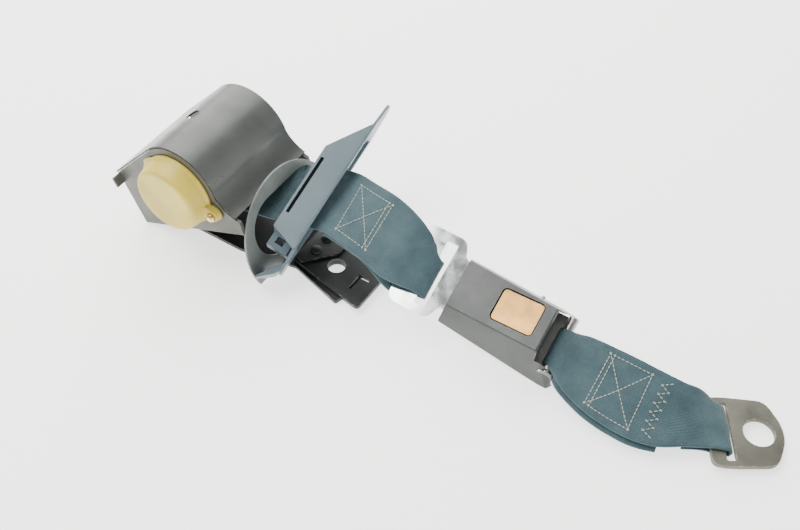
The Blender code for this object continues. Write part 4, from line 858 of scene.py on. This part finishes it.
jitter.inputs["Min"].default_value = 0.9
jitter.inputs["Max"].default_value = 1.1
jitter.inputs["Seed"].default_value = 7
lengths = stitcher.nodes.new("ShaderNodeMath")
lengths.operation = "MULTIPLY"
realise = stitcher.nodes.new("GeometryNodeRealizeInstances")
paint = stitcher.nodes.new("GeometryNodeSetMaterial")
link = stitcher.links.new
link(inward.outputs["Seams"], to_curve.inputs["Mesh"])
link(to_curve.outputs["Curve"], even_out.inputs["Curve"])
link(inward.outputs["Pitch"], even_out.inputs["Length"])
link(even_out.outputs["Curve"], keep_way.inputs["Geometry"])
link(tangent.outputs["Tangent"], keep_way.inputs["Way"])
link(keep_way.outputs["Geometry"], to_points.inputs["Curve"])
link(to_points.outputs["Points"], place_beads.inputs["Points"])
link(bead.outputs["Mesh"], place_beads.inputs["Instance"])
link(keep_way.outputs["Way"], align.inputs["Vector"])
link(align.outputs["Rotation"], place_beads.inputs["Rotation"])
link(inward.outputs["Pitch"], longer.inputs[0])
link(longer.outputs["Value"], lengths.inputs[0])
link(jitter.outputs[1], lengths.inputs[1])
link(lengths.outputs["Value"], stretch.inputs["X"])
link(inward.outputs["Thread radius"], stretch.inputs["Y"])
link(inward.outputs["Thread radius"], stretch.inputs["Z"])
link(stretch.outputs["Vector"], place_beads.inputs["Scale"])
link(place_beads.outputs["Instances"], realise.inputs["Geometry"])
link(realise.outputs["Geometry"], paint.inputs["Geometry"])
link(inward.outputs["Thread"], paint.inputs["Material"])
link(paint.outputs["Geometry"], outward.inputs["Stitches"])


def stitched(name, stations, lines, body, pitch=2.6 * MM):
    """Rows of stitches along lines of (run, share across) on a strap's face."""
    points, edges = [], []
    for (run_a, side_a), (run_b, side_b) in lines:
        count = max(3, int(math.hypot(run_b - run_a, (side_b - side_a) * WIDTH / 2) / (1.2 * MM)))
        for k in range(count + 1):
            share = k / count
            if k:
                edges.append((len(points) - 1, len(points)))
            points.append(on_strap(
                stations, run_a + (run_b - run_a) * share, side_a + (side_b - side_a) * share, 0.12 * MM
            ))
    seams = bpy.data.meshes.new(name + "_seams")
    seams.from_pydata(points, edges, [])
    drawn = drawn_from(name + "_seams", seams)
    sew = drawn.modifiers.new("sew", "NODES")
    sew.node_group = stitcher
    sew[pitch_socket.identifier] = pitch
    sew[width_socket.identifier] = 0.34 * MM
    sew[finish_socket.identifier] = thread_finish
    mesh = baked(drawn)
    mesh.shade_smooth()
    shown_as(name, mesh, body)


# Along the lap webbing the upper layer runs from the roll, so lengths are measured from there
double_gap = 3 * MM
lap_from, lap_to, lap_side = 101 * MM, 128 * MM, 0.72
stitched(
    "lap_stitches",
    lap_stations,
    [
        ((lap_from, -lap_side), (lap_to, -lap_side)),
        ((lap_from, lap_side), (lap_to, lap_side)),
        ((lap_to, -lap_side), (lap_to, lap_side)),
        ((lap_to - double_gap, -lap_side), (lap_to - double_gap, lap_side)),
        ((lap_from, -lap_side), (lap_from, lap_side)),
        ((lap_from, -lap_side), (lap_to, lap_side)),
        ((lap_from, lap_side), (lap_to, -lap_side)),
    ],
    "lap_belt",
)

# On the buckle's strap the top layer begins where the strip has come up round the buckle's bar
buckle_up = to_buckle.to_3x3() @ Vector((0, 0, 1))
bar_top = to_buckle @ Vector((bar_x * MM, 0, bar_z * MM)) + buckle_up * bar_offset
top_from = min(strap_stations, key=lambda s: (s[0] - bar_top).length)[3]
box_from, box_to, zigzag_at = top_from + 33 * MM, top_from + 62 * MM, top_from + 75 * MM
box_side, teeth, tooth = 0.78, 6, 5 * MM
zigzag = []
for k in range(teeth):
    low = -box_side + 2 * box_side * k / teeth
    high = low + 2 * box_side / teeth
    zigzag.append(((zigzag_at, low), (zigzag_at - tooth, (low + high) / 2)))
    zigzag.append(((zigzag_at - tooth, (low + high) / 2), (zigzag_at, high)))
stitched(
    "strap_stitches",
    strap_stations,
    [
        ((box_from, -box_side), (box_from, box_side)),
        ((box_from + double_gap, -box_side), (box_from + double_gap, box_side)),
        ((box_to, -box_side), (box_to, box_side)),
        ((box_from, -box_side), (box_to, -box_side)),
        ((box_from, box_side), (box_to, box_side)),
        ((box_from, -box_side), (box_to, box_side)),
        ((box_from, box_side), (box_to, -box_side)),
    ]
    + zigzag,
    "strap",
)
